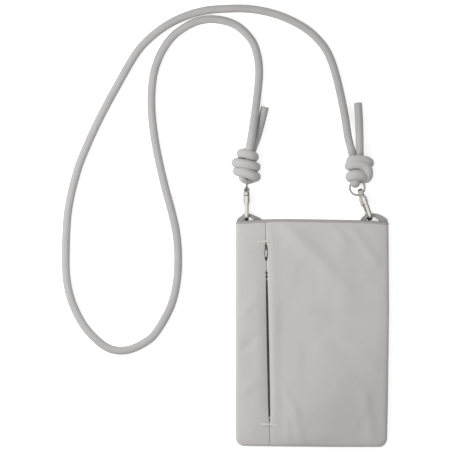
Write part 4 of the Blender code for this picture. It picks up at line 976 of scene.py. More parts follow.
def make_front_panel(name, side, solid):
    """A front panel: side is 1 for the wide one, right of the slit, and -1 for the other."""
    wall = wall_curve(FRONT_WALL_MM)
    lengths, insets, heights = wall
    outer_edge = RIGHT_EDGE if side > 0 else LEFT_EDGE
    lip = np.array(LIP_MM) * MM
    seam = np.array(SEAM_MM) * MM
    reach, across, spot = front_columns(wall, side, outer_edge, lip)
    base_span = np.interp(lengths[-1], lengths, insets)
    low, low_inset, share = rows_up(wall, WALL_LINES * lengths[-1],
                                    fine_rows(PANEL_LENGTH - base_span, base_span))
    x = np.zeros((len(low), len(reach)))
    for _ in range(2):
        base_y, top_y, y, to_base = climb(x, low, low_inset, share)
        outer_x = edge_value(outer_edge, y)
        loose = slit_share(y)[..., None]
        offset, dip = np.moveaxis(lip[spot] * loose + seam[spot] * (1 - loose), 2, 0)
        near = outer_x - side * np.interp(reach, lengths, insets)
        lip_x = seam_x(y) + side * (slit_half_width(y) + offset)
        x = near + (lip_x - near) * across
    to_side = reach + np.abs(x - near)
    bent_x, bent_y = bent_corner(wall, to_side, to_base, np.abs(outer_x - x), y - base_y)
    x = outer_x - side * bent_x
    y = base_y + bent_y
    distance = soft_minimum(to_side, to_base)
    to_mouth = top_y + HEM_HEIGHT - y
    to_seam = np.abs(x - seam_x(y))
    crown = risen(distance, *FOLDS_OFF_SEAM)
    crown = crown * crown * (3 - 2 * crown)
    calm = risen(to_seam, *FOLDS_OFF_SLIT) * risen(to_mouth, *FOLDS_OFF_MOUTH)
    waves = fold_height(x, y) + slack_height(x, y)
    z = np.interp(distance, lengths, heights) + waves * crown * calm
    upright = risen(y - edge_value(BASE_EDGE, x), *ROLL_OFF_BASE)
    y = y - dip * (1 - upright)
    depth, width, crest, crest_place, crest_width = LIP_SHAPES[side]
    fall = -depth * np.exp(-(to_seam / (width * MM)) ** 2)
    fall += crest * np.exp(-((to_seam / MM - crest_place) / crest_width) ** 2)
    z = z + (fall * MM * np.interp(picture_row(y), LIP_ROWS, LIP_STRENGTH) + dip) * upright
    drop = risen(-to_mouth, -MOUTH_REACH, MOUTH_REACH) ** 2 * risen(distance, *DROP_OFF_SEAM)
    z = z - MOUTH_DROP * drop
    grid = np.stack([x, y, z], axis=2)
    piece = finish_cloth(grid_piece(name, grid, flip=side > 0), CLOTH_THICKNESS)
    dress(piece, "pouch", NYLON, "shell_cloth", solid)
    print(name, grid.shape[0], "rows and", grid.shape[1], "columns")
    return grid


FRONT_WIDE_GRID = make_front_panel("front_wide", 1, "front_panel_wide")
FRONT_NARROW_GRID = make_front_panel("front_narrow", -1, "front_panel_narrow")

# %% [markdown]
# The back is one panel. It lies flat on the table and turns up at the sides and the base
# to meet the front at the seam, a third of the way up.

# %% Back panel
BACK_WALL_LINES = 14
BACK_COLUMNS = 60
BACK_ROWS = 90


def make_back_grid():
    """The back, from seam to seam."""
    wall = wall_curve(BACK_WALL_MM)
    lengths, insets, heights = wall
    lines = np.linspace(0.0, lengths[-1], BACK_WALL_LINES)
    inner = np.linspace(0.0, 1.0, BACK_COLUMNS)[1:-1]
    low, low_inset, share = rows_up(wall, lines, np.linspace(0.0, 1.0, BACK_ROWS)[1:])
    reach = np.concatenate([lines, np.full(len(inner) + len(lines), lines[-1])])
    across = np.concatenate([np.zeros(len(lines)), inner, np.ones(len(lines))])
    x = np.zeros((len(low), len(across)))
    for _ in range(2):
        base_y, top_y, y, to_base = climb(x, low, low_inset, share)
        left_x = edge_value(LEFT_EDGE, y)
        right_x = edge_value(RIGHT_EDGE, y)
        near = left_x + np.interp(reach, lengths, insets)
        far = right_x - np.interp(reach[::-1], lengths, insets)
        x = near + (far - near) * across
    to_side = np.minimum(reach + x - near, reach[::-1] + far - x)
    on_left = x < (left_x + right_x) / 2
    edge_x = np.where(on_left, left_x, right_x)
    bent_x, bent_y = bent_corner(wall, to_side, to_base, np.abs(edge_x - x), y - base_y)
    height = np.interp(soft_minimum(to_side, to_base), lengths, heights)
    return np.stack([edge_x + np.where(on_left, bent_x, -bent_x), base_y + bent_y, height], axis=2)


BACK_GRID = make_back_grid()
back = finish_cloth(grid_piece("back_sheet", BACK_GRID, flip=True), CLOTH_THICKNESS)
dress(back, "pouch", NYLON, "shell_cloth", "back_panel")
print("back sheet", BACK_GRID.shape[0], "rows")

# %% [markdown]
# Rolled hems close the mouth. Each is one sewn strip: a bead rolled over the edge of the
# cloth and a leg that lies inside the pouch. Its section is swept along the top row of the
# panel's grid, so it follows the cloth round the sides. The back stands half a millimetre
# higher than the front, and the mouth shows between them as a thin dark line.

# %% Hems
HEM_SECTION_MM = [
    (0.05, -1.0), (0.28, -0.7), (0.34, -0.1), (0.28, 0.55), (0.0, 1.0), (-0.5, 1.28), (-1.0, 1.2),
    (-1.45, 0.85), (-1.7, 0.2), (-1.78, -1.0), (-1.8, -5.0), (-1.8, -10.6), (-1.4, -11.2),
    (-1.0, -10.6), (-1.0, -5.0), (-0.9, -1.2), (-0.4, -0.9),
]
BACK_HEM_RISE = 0.5 * MM
SEWN_STEP = 1.5 * MM


def make_hem(name, rim, rise, node):
    """A hem along a rim of points that runs with the outside of the pouch on its left."""
    path = smooth_path(rim, SEWN_STEP)
    path[:, 1] += rise
    hem = sweep(name, path, np.array(HEM_SECTION_MM) * MM, side=(0.0, 1.0, 0.0), girth=26 * MM)
    for vertex in hem.data.vertices:
        vertex.co.z = max(vertex.co.z, 0.0)
    return dress(finish_cloth(hem), "pouch", EDGE_CLOTH, "shell_cloth", node)


narrow_rim = FRONT_NARROW_GRID[-1][:-len(LIP_MM)]
wide_rim = FRONT_WIDE_GRID[-1][:-len(LIP_MM)]
front_rim = np.concatenate([narrow_rim[2::2], wide_rim[::-1][2:-2:2]])
make_hem("hem_front", front_rim, 0.0, "front_hem")
make_hem("hem_back", BACK_GRID[-1][::-1][2:-2:2], BACK_HEM_RISE, "back_hem")
print("hems along", len(front_rim), "rim points")

# %% [markdown]
# Inside lies the lining, a loose sack. It is a closed ring of cloth lofted from the base to
# the mouth, with the soft creases of cloth that nothing pulls flat. A bound seam allowance
# runs round the inside of the shell.

# %% Lining and seam allowance
LINING_HALF_WIDTH = 61.8 * MM
LINING_ENDS = (-96.6 * MM, 92.6 * MM)
LINING_MIDDLE = 5.5 * MM
LINING_HALF_HEIGHT = 2.7 * MM
LINING_GRID = (81, 120)
LINING_SQUARE = (0.45, 0.7)
LINING_CREASE = 0.45 * MM


def make_lining():
    """A loose sack, open at the mouth."""
    rows, around = LINING_GRID
    turns = turns_round(around)
    share = np.linspace(0.0, 1.0, rows)[:, None]
    y = LINING_ENDS[0] + (LINING_ENDS[1] - LINING_ENDS[0]) * share
    shut = 1 - (1 - np.minimum(share * 9, 1.0)) ** 2
    rounding = 1 - 0.03 * (1 - np.minimum(share * 16, 1.0)) ** 2
    flat_x = squared(np.cos(turns), LINING_SQUARE[0])
    flat_z = squared(np.sin(turns), LINING_SQUARE[1])
    x = flat_x * LINING_HALF_WIDTH * rounding
    crease = np.sin(x * 190 + y * 60) * np.sin(y * 85 - x * 40) * LINING_CREASE
    crease = crease * (1 - np.abs(flat_x) ** 6)
    z = LINING_MIDDLE + flat_z * LINING_HALF_HEIGHT * (0.12 + 0.88 * shut) + crease * shut
    grid = np.stack(np.broadcast_arrays(x, y, z), axis=2)
    lining = grid_piece("lining_bag", grid, wrap=True)
    closed = bmesh.new()
    closed.from_mesh(lining.data)
    rim = [edge for edge in closed.edges if edge.is_boundary
           and edge.verts[0].co.y < LINING_ENDS[0] + 0.1 * MM]
    bmesh.ops.holes_fill(closed, edges=rim, sides=0)
    bmesh.ops.recalc_face_normals(closed, faces=closed.faces)
    closed.to_mesh(lining.data)
    closed.free()
    return lining


lining = finish_cloth(make_lining(), 0.35 * MM, 0)
dress(lining, "pouch", LINING_CLOTH, "lining_cloth", "lining_sack")

BINDING_HALF_MM = [(-64.0, 85.0), (-64.0, 60.0), (-64.0, 20.0), (-64.0, -30.0), (-64.0, -80.0),
                   (-64.0, -92.0), (-63.0, -96.2), (-60.0, -98.4), (-54.0, -98.8)]
BINDING_HEIGHT = 7.5 * MM
BINDING_BASE_MM = [(-30.0, -98.8), (0.0, -98.9), (30.0, -98.9)]
BINDING_SIDE_MM = [(-0.9, -2.2), (-0.5, -2.45), (0.0, -2.3), (0.5, -2.45), (0.9, -2.2),
                   (1.05, 0.0)]
binding_route = BINDING_HALF_MM + BINDING_BASE_MM + [(-x, y) for x, y in BINDING_HALF_MM[::-1]]
binding_path = smooth_path([(x * MM, y * MM, BINDING_HEIGHT) for x, y in binding_route],
                           SEWN_STEP)
binding_section = np.array(BINDING_SIDE_MM + [(-x, -y) for x, y in BINDING_SIDE_MM]) * MM
binding = sweep("seam_allowance", binding_path, binding_section, side=(0.0, 0.0, 1.0),
                girth=14 * MM)
dress(binding, "pouch", LINING_CLOTH, "lining_cloth", "seam_binding")
print("lining and seam allowance", round(float(distances(binding_path)[-1]), 2), "m")

# %% [markdown]
# The zip pocket under the slit: two plies of lining cloth, and on each side of the slit a
# turned facing, a woven zip tape and half of the coil. Seen from above all of it lies in
# the shade of the lips, so the tapes and the coil are coloured a dark grey: painted shade.

# %% Zip pocket cloth
SLIT_LEAN = math.radians(1.144)
TAPE_WAVE = 0.10 * MM
PLY_BASE_INSET = 4.0 * MM
PLY_GRID = (36, 70)
PLY_LIFT = 0.15 * MM
PLY_WAVE = 0.16 * MM
STRIP_END = 0.4 * MM
STRIP_POINTS = 110
STRIP_DROP = 0.45 * MM


def make_ply(name, solid):
    """A flat ply of the pocket with soft, shallow waves."""
    low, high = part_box(solid)
    x, y = np.meshgrid(np.linspace(low[0], high[0], PLY_GRID[0]),
                       np.linspace(low[1] + PLY_BASE_INSET, high[1], PLY_GRID[1]))
    middle = (low[2] + high[2]) / 2 + PLY_LIFT
    z = middle + np.sin(x * 130 + y * 55) * np.sin(y * 62 + 1.3) * PLY_WAVE
    ply = finish_cloth(grid_piece(name, np.stack([x, y, z], axis=2)), 0.3 * MM)
    return dress(ply, "pouch", LINING_CLOTH, "lining_cloth", solid)


def strip(name, solid, width, height, layers, material, slot):
    """A strip beside the slit, with one soft roll for each of its folded layers."""
    low, high = [Vector(corner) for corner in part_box(solid)]
    middle = (low + high) / 2
    reach = (high.y - low.y) / 2 - STRIP_END
    along = np.linspace(-reach, reach, STRIP_POINTS)
    wave = TAPE_WAVE * np.sin(along * 95 + width * 900)
    path = np.stack([middle.x - along * math.sin(SLIT_LEAN) + wave * 0.5,
                     middle.y + along * math.cos(SLIT_LEAN),
                     middle.z - STRIP_DROP + wave * 0.3], axis=1)
    steps = np.linspace(-1.0, 1.0, 6 * layers + 1)
    edge = np.abs(np.cos(steps * math.pi * layers / 2)) ** 0.3
    top = np.stack([steps * width / 2, (0.70 + 0.30 * edge) * height / 2], axis=1)
    section = np.concatenate([top, -top[1:-1]])[::-1]
    piece = sweep(name, path, section, side=(0.0, 0.0, 1.0), girth=2 * (width + height))
    return dress(piece, "pouch", material, slot, solid)


make_ply("pocket_back", "pocket_ply_back")
make_ply("pocket_front", "pocket_ply_front")
for side_name in ("left", "right"):
    strip("facing_" + side_name, "slit_facing_" + side_name, 6.4 * MM, 0.7 * MM, 2, NYLON,
          "shell_cloth")
    strip("tape_" + side_name, "zip_tape_" + side_name, 10.0 * MM, 0.46 * MM, 4, ZIP_CLOTH,
          "zip_cloth")
print("zip tapes beside the slit")

# %% [markdown]
# The coil is one plastic monofilament wound round and round, and a bar tack is a dense row
# of stitches. One turn or one stitch repeats along a line, which is a job for Geometry
# Nodes. A tree has named sizes as its inputs, puts a shape on every point of its line, and
# ends in Realize Instances and Set Material. Its result becomes a plain mesh.

# %% Geometry Nodes helpers


WIRE_SIDES = 5


def node_group(name, sizes):
    """A Geometry Nodes tree with named number inputs, and the outputs that give them."""
    group = bpy.data.node_groups.new(name, "GeometryNodeTree")
    group.interface.new_socket("Geometry", in_out="INPUT", socket_type="NodeSocketGeometry")
    for label, value in sizes.items():
        kind = "NodeSocketInt" if isinstance(value, int) else "NodeSocketFloat"
        group.interface.new_socket(label, in_out="INPUT", socket_type=kind).default_value = value
    group.interface.new_socket("Geometry", in_out="OUTPUT", socket_type="NodeSocketGeometry")
    return group, add(group, "NodeGroupInput").outputs


def point_line(group, count, start, end):
    """Points from one place to another, each place given as three sockets or numbers."""
    ends = [add(group, "ShaderNodeCombineXYZ", dict(enumerate(place))) for place in (start, end)]
    return add(group, "GeometryNodeMeshLine", {"Count": count, "Start Location": ends[0].outputs[0],
                                               "Offset": ends[1].outputs[0]}, mode="END_POINTS")


def strand(group, curve, rotation, width, height, radius, capped=False):
    """A curve stretched to a width and a height, turned, and given a round thread."""
    size = add(group, "ShaderNodeCombineXYZ", {"X": width, "Y": height, "Z": 1.0})
    shape = add(group, "GeometryNodeTransform",
                {"Geometry": curve.outputs[0], "Rotation": [math.radians(a) for a in rotation],
                 "Scale": size.outputs[0]})
    wire = add(group, "GeometryNodeCurvePrimitiveCircle", {"Resolution": WIRE_SIDES, "Radius": radius})
    return add(group, "GeometryNodeCurveToMesh",
               {0: shape.outputs[0], 1: wire.outputs[0], "Fill Caps": capped})


def repeat_along(group, line, shape, material, turned=None):
    """Put a shape on every point of a line and close the tree."""
    copies = add(group, "GeometryNodeInstanceOnPoints",
                 {"Points": line.outputs[0], "Instance": shape.outputs[0]})
    if turned is not None:
        group.links.new(turned.outputs[0], copies.inputs["Rotation"])
    whole = add(group, "GeometryNodeRealizeInstances", {0: copies.outputs[0]})
    finish = add(group, "GeometryNodeSetMaterial", {0: whole.outputs[0], "Material": material})
    add(group, "NodeGroupOutput", {0: finish.outputs[0]})
    return group


def made_from_nodes(name, group, values):
    """Run a tree on an empty mesh with the given sizes and keep the result as a mesh."""
    holder = placed(name + "_maker", bpy.data.meshes.new(name + "_maker"))
    modifier = holder.modifiers.new("maker", "NODES")
    modifier.node_group = group
    for item in group.interface.items_tree:
        if item.in_out == "INPUT" and item.name in values:
            modifier[item.identifier] = values[item.name]
    graph = bpy.context.evaluated_depsgraph_get()
    mesh = bpy.data.meshes.new_from_object(holder.evaluated_get(graph))
    bpy.data.objects.remove(holder, do_unlink=True)
    mesh.name = name
    for face in mesh.polygons:
        face.use_smooth = True
    return placed(name, mesh)


# %% [markdown]
# The metal: bright nickel on the hooks, their pins and collars, a darker nickel on the
# rings, bails and gates, a near black on the slider that is painted shade of the slit over
# it, a pale plating on its pull and the stops, and steel for the gate springs. Polishing
# leaves fine marks that a noise in the roughness shows better than in the colour.

# %% Metal finishes


def make_metal(name, dark, light, smooth, rough):
    """Polished metal with fine marks in its roughness."""
    material, tree, shader = principled(name, light, smooth, {"Metallic": 1.0})
    coordinate = add(tree, "ShaderNodeTexCoord")
    cloud = noise(tree, coordinate, 260.0, 4.0)
    marks = blend(tree, (cloud, 0.6), (noise(tree, coordinate, 2400.0), 0.4))
    spread = calc(tree, "MULTIPLY_ADD", marks, rough - smooth, smooth)
    tree.links.new(spread, shader.inputs["Roughness"])
    finish_surface(tree, shader, ramp(tree, cloud, dark, light), cloud, 0.02 * MM)
    return material


NICKEL = make_metal("bright_nickel", (0.60, 0.585, 0.555), (0.72, 0.705, 0.675), 0.14, 0.34)
RING_NICKEL = make_metal("ring_nickel", (0.36, 0.352, 0.335), (0.48, 0.47, 0.45), 0.18, 0.36)
ZIP_METAL = make_metal("zip_metal", (0.40, 0.39, 0.375), (0.52, 0.51, 0.49), 0.22, 0.42)
# Near black on the slider: painted shade of the slit over it
SLIDER_SHADE_METAL = make_metal("slider_painted_shade", (0.06, 0.06, 0.062), (0.10, 0.10, 0.103), 0.35, 0.55)
STEEL = make_metal("spring_steel", (0.40, 0.40, 0.40), (0.52, 0.52, 0.52), 0.20, 0.38)
print("metals made")

# %% [markdown]
# The zip's chain: each half is a row of oval turns that lean a little.

# %% Zip coil
COIL_PITCH = 1.15 * MM
COIL_WIRE = 0.27 * MM
COIL_HALF_WIDTH = 0.62 * MM
COIL_HALF_HEIGHT = 0.32 * MM
COIL_TURN_DEGREES = (80.0, 0.0, 8.0)
# Dark grey coil: painted shade of the lips over it
COIL_PLASTIC = make_plain("coil_plastic", (0.09, 0.09, 0.093), 0.38, (900.0,),
                          (0.07, 0.07, 0.072), (0.12, 0.12, 0.124))

coil_group, size = node_group("coil_turns", {
    "Turns": 100, "Start X": 0.0, "Start Y": 0.0, "End X": 0.0, "End Y": 0.1, "Height": 0.01,
    "Half Width": 0.001, "Half Height": 0.0004, "Wire": 0.0003})
coil_line = point_line(coil_group, size["Turns"],
                       (size["Start X"], size["Start Y"], size["Height"]),
                       (size["End X"], size["End Y"], size["Height"]))
coil_turn = strand(coil_group, add(coil_group, "GeometryNodeCurvePrimitiveCircle",
                                   {"Resolution": 12, "Radius": 1.0}),
                   COIL_TURN_DEGREES, size["Half Width"], size["Half Height"], size["Wire"])
repeat_along(coil_group, coil_line, coil_turn, COIL_PLASTIC)

for side_name in ("left", "right"):
    low, high = [Vector(corner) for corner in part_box("zip_coil_" + side_name)]
    lean = math.tan(SLIT_LEAN) * (high.y - low.y) / 2
    middle = (low + high) / 2
    coil = made_from_nodes("coil_" + side_name, coil_group, {
        "Turns": int((high.y - low.y) / COIL_PITCH), "Start X": middle.x + lean,
        "Start Y": low.y + COIL_WIRE, "End X": middle.x - lean, "End Y": high.y - COIL_WIRE,
        "Height": middle.z, "Half Width": COIL_HALF_WIDTH, "Half Height": COIL_HALF_HEIGHT,
        "Wire": COIL_WIRE})
    dress(coil, "pouch", COIL_PLASTIC, "zip_cloth", "zip_coil_" + side_name)
    print(coil.name, len(coil.data.polygons), "faces")

# %% [markdown]
# A bar tack is a dense row of satin stitches over a core, here 13 mm long, that stops the
# slit from tearing. Each strand of thread is a short arch, turned by a small random angle
# with a fixed seed.

# %% Bar tacks
THREAD = make_plain("pale_thread", (0.62, 0.60, 0.585), 0.55, (1500.0, 2.0), (0.60, 0.58, 0.56),
                    (0.76, 0.74, 0.72), {"Sheen Weight": 0.2})
TACK_SIZES = {"Strands": 36, "Length": 13.2 * MM, "Reach": 0.95 * MM, "Arch": 0.75 * MM,
              "Thread": 0.21 * MM, "Seed": 3}
TACK_HEIGHT = 14.75 * MM
STITCH_DEGREES = (90.0, 0.0, 90.0)
STITCH_ARC = {"Resolution": 7, "Radius": 1.0, "Start Angle": math.radians(8.0),
              "Sweep Angle": math.radians(164.0)}
STITCH_SWAY = (0.0, 0.05, 0.16)
TACKS = {"top": ((257.9, 241.6), (273.3, 241.2)), "bottom": ((260.3, 423.6), (277.3, 424.6))}

tack_group, size = node_group("bar_tack", TACK_SIZES)
tack_ends = [calc(tack_group, "MULTIPLY", size["Length"], half) for half in (-0.5, 0.5)]
tack_line = point_line(tack_group, size["Strands"], (tack_ends[0], 0.0, 0.0),
                       (tack_ends[1], 0.0, 0.0))
tack_arch = add(tack_group, "GeometryNodeCurveArc", STITCH_ARC, mode="RADIUS")
stitch = strand(tack_group, tack_arch, STITCH_DEGREES, size["Reach"], size["Arch"],
                size["Thread"], capped=True)
stitch_turn = add(tack_group, "FunctionNodeRandomValue",
                  {0: [-angle for angle in STITCH_SWAY], 1: STITCH_SWAY, "Seed": size["Seed"]},
                  data_type="FLOAT_VECTOR")
repeat_along(tack_group, tack_line, stitch, THREAD, stitch_turn)

for end_name, tack_places in TACKS.items():
    start, end = [Vector((*from_picture(*place), TACK_HEIGHT)) for place in tack_places]
    tack = made_from_nodes("tack_" + end_name, tack_group, TACK_SIZES)
    turn = Matrix.Rotation(math.atan2(end.y - start.y, end.x - start.x), 4, "Z")
    tack.data.transform(Matrix.Translation((start + end) / 2) @ turn)
    dress(tack, "pouch", THREAD, "thread", "bar_tack_" + end_name)
print("bar tacks with", TACK_SIZES["Strands"], "strands each")

# %% [markdown]
# Corner loops. Each is a folded band of the shell's cloth that stands on its edge, so from
# above it shows as a thin double line. Its section has a groove where the folds meet. The
# arm beside each hook lies over on its side, so it widens towards the loop's inside.

# %% Fabric loops
LOOP_ROUTES_MM = {
    "left": [(-64.1, 86.9, 7.5), (-64.1, 93.0, 7.5), (-64.1, 95.98, 7.5), (-60.33, 99.11, 7.5),
             (-59.0, 100.30, 7.5), (-55.2, 100.30, 7.5), (-51.02, 98.95, 7.5),
             (-44.15, 94.90, 4.8), (-43.20, 86.90, 4.8)],
    "right": [(41.77, 86.90, 4.8), (42.72, 94.90, 4.8), (47.3, 99.97, 7.5), (51.1, 100.62, 7.5),
              (57.56, 99.76, 7.5), (64.1, 95.98, 7.5), (64.1, 93.0, 7.5), (64.1, 86.9, 7.5)],
}
LOOP_HALF_MM = [(-0.95, -1.75), (-0.55, -1.92), (-0.18, -1.80), (0.0, -1.50), (0.18, -1.80),
                (0.55, -1.92), (0.95, -1.75), (1.15, -1.35), (1.12, 0.0), (1.15, 1.35)]
LOOP_SECTION = np.array(LOOP_HALF_MM + [(-x, -y) for x, y in LOOP_HALF_MM]) * MM
# Share of the way along the band, then how many times as wide its inner half is there
LOOP_SPREADS = {
    "left": ([0.0, 0.16, 0.26, 0.36, 0.44, 0.52, 0.64, 1.0],
             [3.8, 4.3, 4.0, 2.6, 1.4, 1.4, 2.4, 2.8]),
    "right": ([0.0, 0.14, 0.26, 0.36, 0.46, 0.58, 0.72, 0.9, 1.0],
              [3.1, 3.6, 3.0, 1.8, 1.2, 2.4, 4.2, 4.6, 4.0]),
}
LOOP_OUTER_SPREAD = 1.1
for side_name, route in LOOP_ROUTES_MM.items():
    loop_path = smooth_path([Vector(place) * MM for place in route], 0.5 * MM)
    spread = np.interp(np.linspace(0.0, 1.0, len(loop_path)), *LOOP_SPREADS[side_name])
    bands = np.repeat(LOOP_SECTION[None], len(loop_path), axis=0)
    bands[:, :, 0] *= np.where(bands[:, :, 0] > 0, spread[:, None], LOOP_OUTER_SPREAD)
    band = sweep("band_" + side_name, loop_path, bands, side=(0.0, 0.0, 1.0), girth=14 * MM)
    dress(band, "pouch", EDGE_CLOTH, "shell_cloth", "loop_" + side_name)
    print(band.name, round(float(distances(loop_path)[-1]) / MM), "mm")

# %% [markdown]
# The castings: hook bodies, gates, pins, the slider and its pull. Their solids have the
# right sizes but flat facets and sharp edges. A fine remesh of a merged copy, smoothed a
# little, gives them the soft edges of a polished casting. For a hook it is made in the
# hook's own frame, so its small cubes line up with the hook, and there the square block is
# turned into a barrel and the gate's thumb tab is widened.

# %% Cast metal
HOOK_AXIS_Y = 100.2986 * MM
# Place across the pouch, lean in the picture and roll about the hook's own length
HOOK_PLACES = {"left": (-57.1 * MM, 0.0, 0.0),
               "right": (49.2 * MM, math.radians(19.4), math.radians(14.0))}
BLOCK_START = 10.0
BLOCK_HALF = (2.8, 4.7)
BLOCK_MIDDLE_V = 0.5
BARREL_POWER = 2.5
BLOCK_SPREAD = 1.1
SPINE_SPREAD = 1.24
TAB_START_V = -4.3
TAB_START_U = 8.4
TAB_SPREAD = 0.75
MERGE_DISTANCE = 0.002 * MM


def hook_frame(side, roll=None):
    """A hook's own frame: X across it, Y towards the strap and Z from its gate to its spine."""
    x, lean, own_roll = HOOK_PLACES[side]
    place = Matrix.Translation((x, HOOK_AXIS_Y, SUBJECT_HEIGHT))
    turn = Matrix.Rotation(own_roll if roll is None else roll, 4, "Y")
    return place @ Matrix.Rotation(lean, 4, "Z") @ turn


def unit(value):
    """A number kept between 0 and 1."""
    return min(max(value, 0.0), 1.0)


def rounded_block(place):
    """Turn the square block of a hook into a barrel; the place is in the hook's own frame."""
    u = place.y / MM
    share = unit((u - BLOCK_START + 0.7) / 0.6)
    if share == 0.0:
        return Vector((place.x * SPINE_SPREAD, place.y, place.z))
    x = place.x / MM / BLOCK_HALF[0]
    v = (place.z / MM - BLOCK_MIDDLE_V) / BLOCK_HALF[1]
    square = max(abs(x), abs(v), 1e-6)
    power = (abs(x) ** BARREL_POWER + abs(v) ** BARREL_POWER) ** (1 / BARREL_POWER)
    snapped = square + (1.0 - square) * unit((square - 0.78) / 0.12)
    pull = 1 + (snapped / power - 1) * share
    taper = 1 - 0.13 * unit(1 - (u - BLOCK_START) / 1.8) * share
    spread = SPINE_SPREAD + (BLOCK_SPREAD - SPINE_SPREAD) * share
    return Vector((place.x * pull * taper * spread, place.y,
                   (BLOCK_MIDDLE_V + v * BLOCK_HALF[1] * pull) * MM))


def widened_tab(place):
    """Spread the thumb tab of a gate; the place is in the hook's own frame."""
    share = unit((TAB_START_V - place.z / MM) / 0.7) * unit((place.y / MM - TAB_START_U) / 0.8)
    return Vector((place.x * (1 + TAB_SPREAD * share), place.y, place.z))


def cast(name, solid, body, material, slot, voxel, rounds, place=None, reshape=None):
    """A finely meshed and softened copy of a solid, remeshed square to its own frame."""
    place = place or Matrix.Identity(4)
    builder = bmesh.new()
    builder.from_mesh(bpy.data.objects[solid].data)
    bmesh.ops.remove_doubles(builder, verts=builder.verts, dist=MERGE_DISTANCE)
    bmesh.ops.recalc_face_normals(builder, faces=builder.faces)
    bmesh.ops.transform(builder, matrix=place.inverted(), verts=builder.verts)
    piece = placed(name, mesh_from(name, builder))
    modify(piece, "REMESH", mode="VOXEL", voxel_size=voxel, use_smooth_shade=True)
    graph = bpy.context.evaluated_depsgraph_get()
    finished = bpy.data.meshes.new_from_object(piece.evaluated_get(graph))
    piece.modifiers.clear()
    piece.data = finished
    finished.name = name
    if reshape is not None:
        for vert in finished.vertices:
            vert.co = reshape(vert.co.copy())
    finished.transform(place)
    modify(piece, "SMOOTH", factor=0.5, iterations=rounds)
    return dress(piece, body, material, slot, solid)


for side_name in ("left", "right"):
    own_frame = hook_frame(side_name)
    cast("snap_hook_" + side_name, "hook_body_" + side_name, "hook_" + side_name, NICKEL, "nickel",
         0.15 * MM, 7, own_frame, rounded_block)
    cast("snap_gate_" + side_name, "gate_" + side_name, "lever_" + side_name, RING_NICKEL,
         "nickel", 0.11 * MM, 6, own_frame, widened_tab)
    cast("gate_rivet_" + side_name, "gate_pin_" + side_name, "hook_" + side_name, NICKEL,
         "nickel", 0.10 * MM, 4, own_frame)
    for material_slot in bpy.data.objects["gate_spring_" + side_name].material_slots:
        material_slot.material = STEEL
# The slider takes the painted shade of the slit
cast("slider_body", "zip_slider", "slider", SLIDER_SHADE_METAL, "zip_metal", 0.14 * MM, 4)
cast("pull_tab", "zip_pull", "pull", ZIP_METAL, "zip_metal", 0.07 * MM, 3)
for stop in ("zip_top_stop_left", "zip_top_stop_right", "zip_bottom_stop"):
    cast(stop.replace("zip_", "clamped_"), stop, "pouch", ZIP_METAL, "zip_metal", 0.10 * MM, 3)

# %% [markdown]
# Each swivel eye is a bail of flat metal, bent round the ring's wire, on a collar that turns
# in the hook. The bail is a sweep along an oval, and the collar and its post are turned.

# %% Swivel eyes
# In mm: the bail's two ends along the hook, then half of its opening's width
EYES = {"left": (19.6, 23.4, 0.86), "right": (17.7, 23.1, 1.05)}
EYE_ROLLS = {"left": math.radians(90.0), "right": 0.0}
BAIL_THICK = 0.95
BAIL_HALF_WIDTH = 2.15
BAIL_POINTS = 48
BAIL_STEP = 0.3 * MM
COLLAR_PROFILE_MM = [(0.02, 14.9), (1.6, 14.95), (1.68, 15.1), (1.68, 15.65), (1.55, 15.8),
                     (0.98, 15.82), (0.98, 16.65), (2.6, 16.7), (2.95, 16.85)]
COLLAR_SIDES = 40


def lathe(name, profile_mm, own_frame):
    """A profile of radius and height turned round a frame's Y axis."""
    rings = [[own_frame @ (Vector((radius * x, height, radius * z)) * MM)
              for x, z in round_section(1.0, COLLAR_SIDES)] for radius, height in profile_mm]
    builder, verts, _ = skin(np.array(rings), wrap_columns=True)
    builder.faces.new(verts[0])
    builder.faces.new(verts[-1])
    bmesh.ops.recalc_face_normals(builder, faces=builder.faces)
    return placed(name, mesh_from(name, builder))


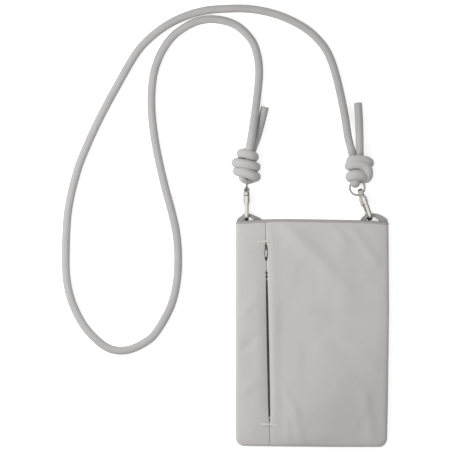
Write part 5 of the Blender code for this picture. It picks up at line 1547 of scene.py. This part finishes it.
bail_turns = turns_round(20)
BAIL_SECTION = np.stack([BAIL_THICK * squared(np.cos(bail_turns), 0.7),
                         BAIL_HALF_WIDTH * squared(np.sin(bail_turns), 0.6)], axis=1) * MM
for side_name, (base, top, opening_half) in EYES.items():
    eye_frame = hook_frame(side_name, EYE_ROLLS[side_name])
    reach = opening_half + BAIL_THICK
    oval = []
    for number in range(BAIL_POINTS):
        angle = 2 * math.pi * number / BAIL_POINTS
        middle = top - reach if math.sin(angle) > 0 else base + reach
        oval.append(eye_frame @ (Vector((0.0, middle + reach * math.sin(angle),
                                         reach * math.cos(angle))) * MM))
    across = eye_frame.to_3x3() @ Vector((1.0, 0.0, 0.0))
    bail = sweep("bail_" + side_name, smooth_path(oval, BAIL_STEP, closed=True), BAIL_SECTION,
                 side=across, closed=True)
    dress(bail, "strap", RING_NICKEL, "nickel", "swivel_eye_" + side_name)
    shoulder = [(3.0, base - 0.4), (2.88, base + 0.1), (2.4, base + 0.45), (0.02, base + 0.5)]
    collar = lathe("collar_" + side_name, COLLAR_PROFILE_MM + shoulder, eye_frame)
    dress(collar, "strap", NICKEL, "nickel", "swivel_eye_" + side_name)
print("swivel eyes up to", top, "mm from the loops")

# %% [markdown]
# Two plain rings of round wire join the swivel eyes to the knots. The left one stands on
# its edge and the right one lies flat.

# %% Rings
RING_MEAN_RADIUS = 6.48 * MM
RING_WIRE_RADIUS = 0.88 * MM
RING_WIRE_SIDES = 20
RING_POINTS = 120
RINGS = {"left": ((-57.1, 128.40, 7.65), (1.0, 0.0, 0.0)),
         "right": ((39.153, 124.125, 7.5), (0.0, 0.0, 1.0))}
for side_name, (centre, axis) in RINGS.items():
    first = Vector((0.0, 1.0, 0.0)) * RING_MEAN_RADIUS
    second = Vector(axis).cross(first)
    ring_path = [Vector(centre) * MM + math.cos(turn) * first + math.sin(turn) * second
                 for turn in turns_round(RING_POINTS)]
    ring = sweep("split_free_ring_" + side_name, ring_path,
                 round_section(RING_WIRE_RADIUS, RING_WIRE_SIDES), side=axis, closed=True)
    dress(ring, "ring_" + side_name, RING_NICKEL, "nickel", "ring_" + side_name)
print("rings", round((RING_MEAN_RADIUS + RING_WIRE_RADIUS) * 2 / MM, 1), "mm outside")

# %% [markdown]
# Last lines: the colours are shown through the Standard view transform.

# %% Finish
bpy.context.scene.view_settings.view_transform = "Standard"
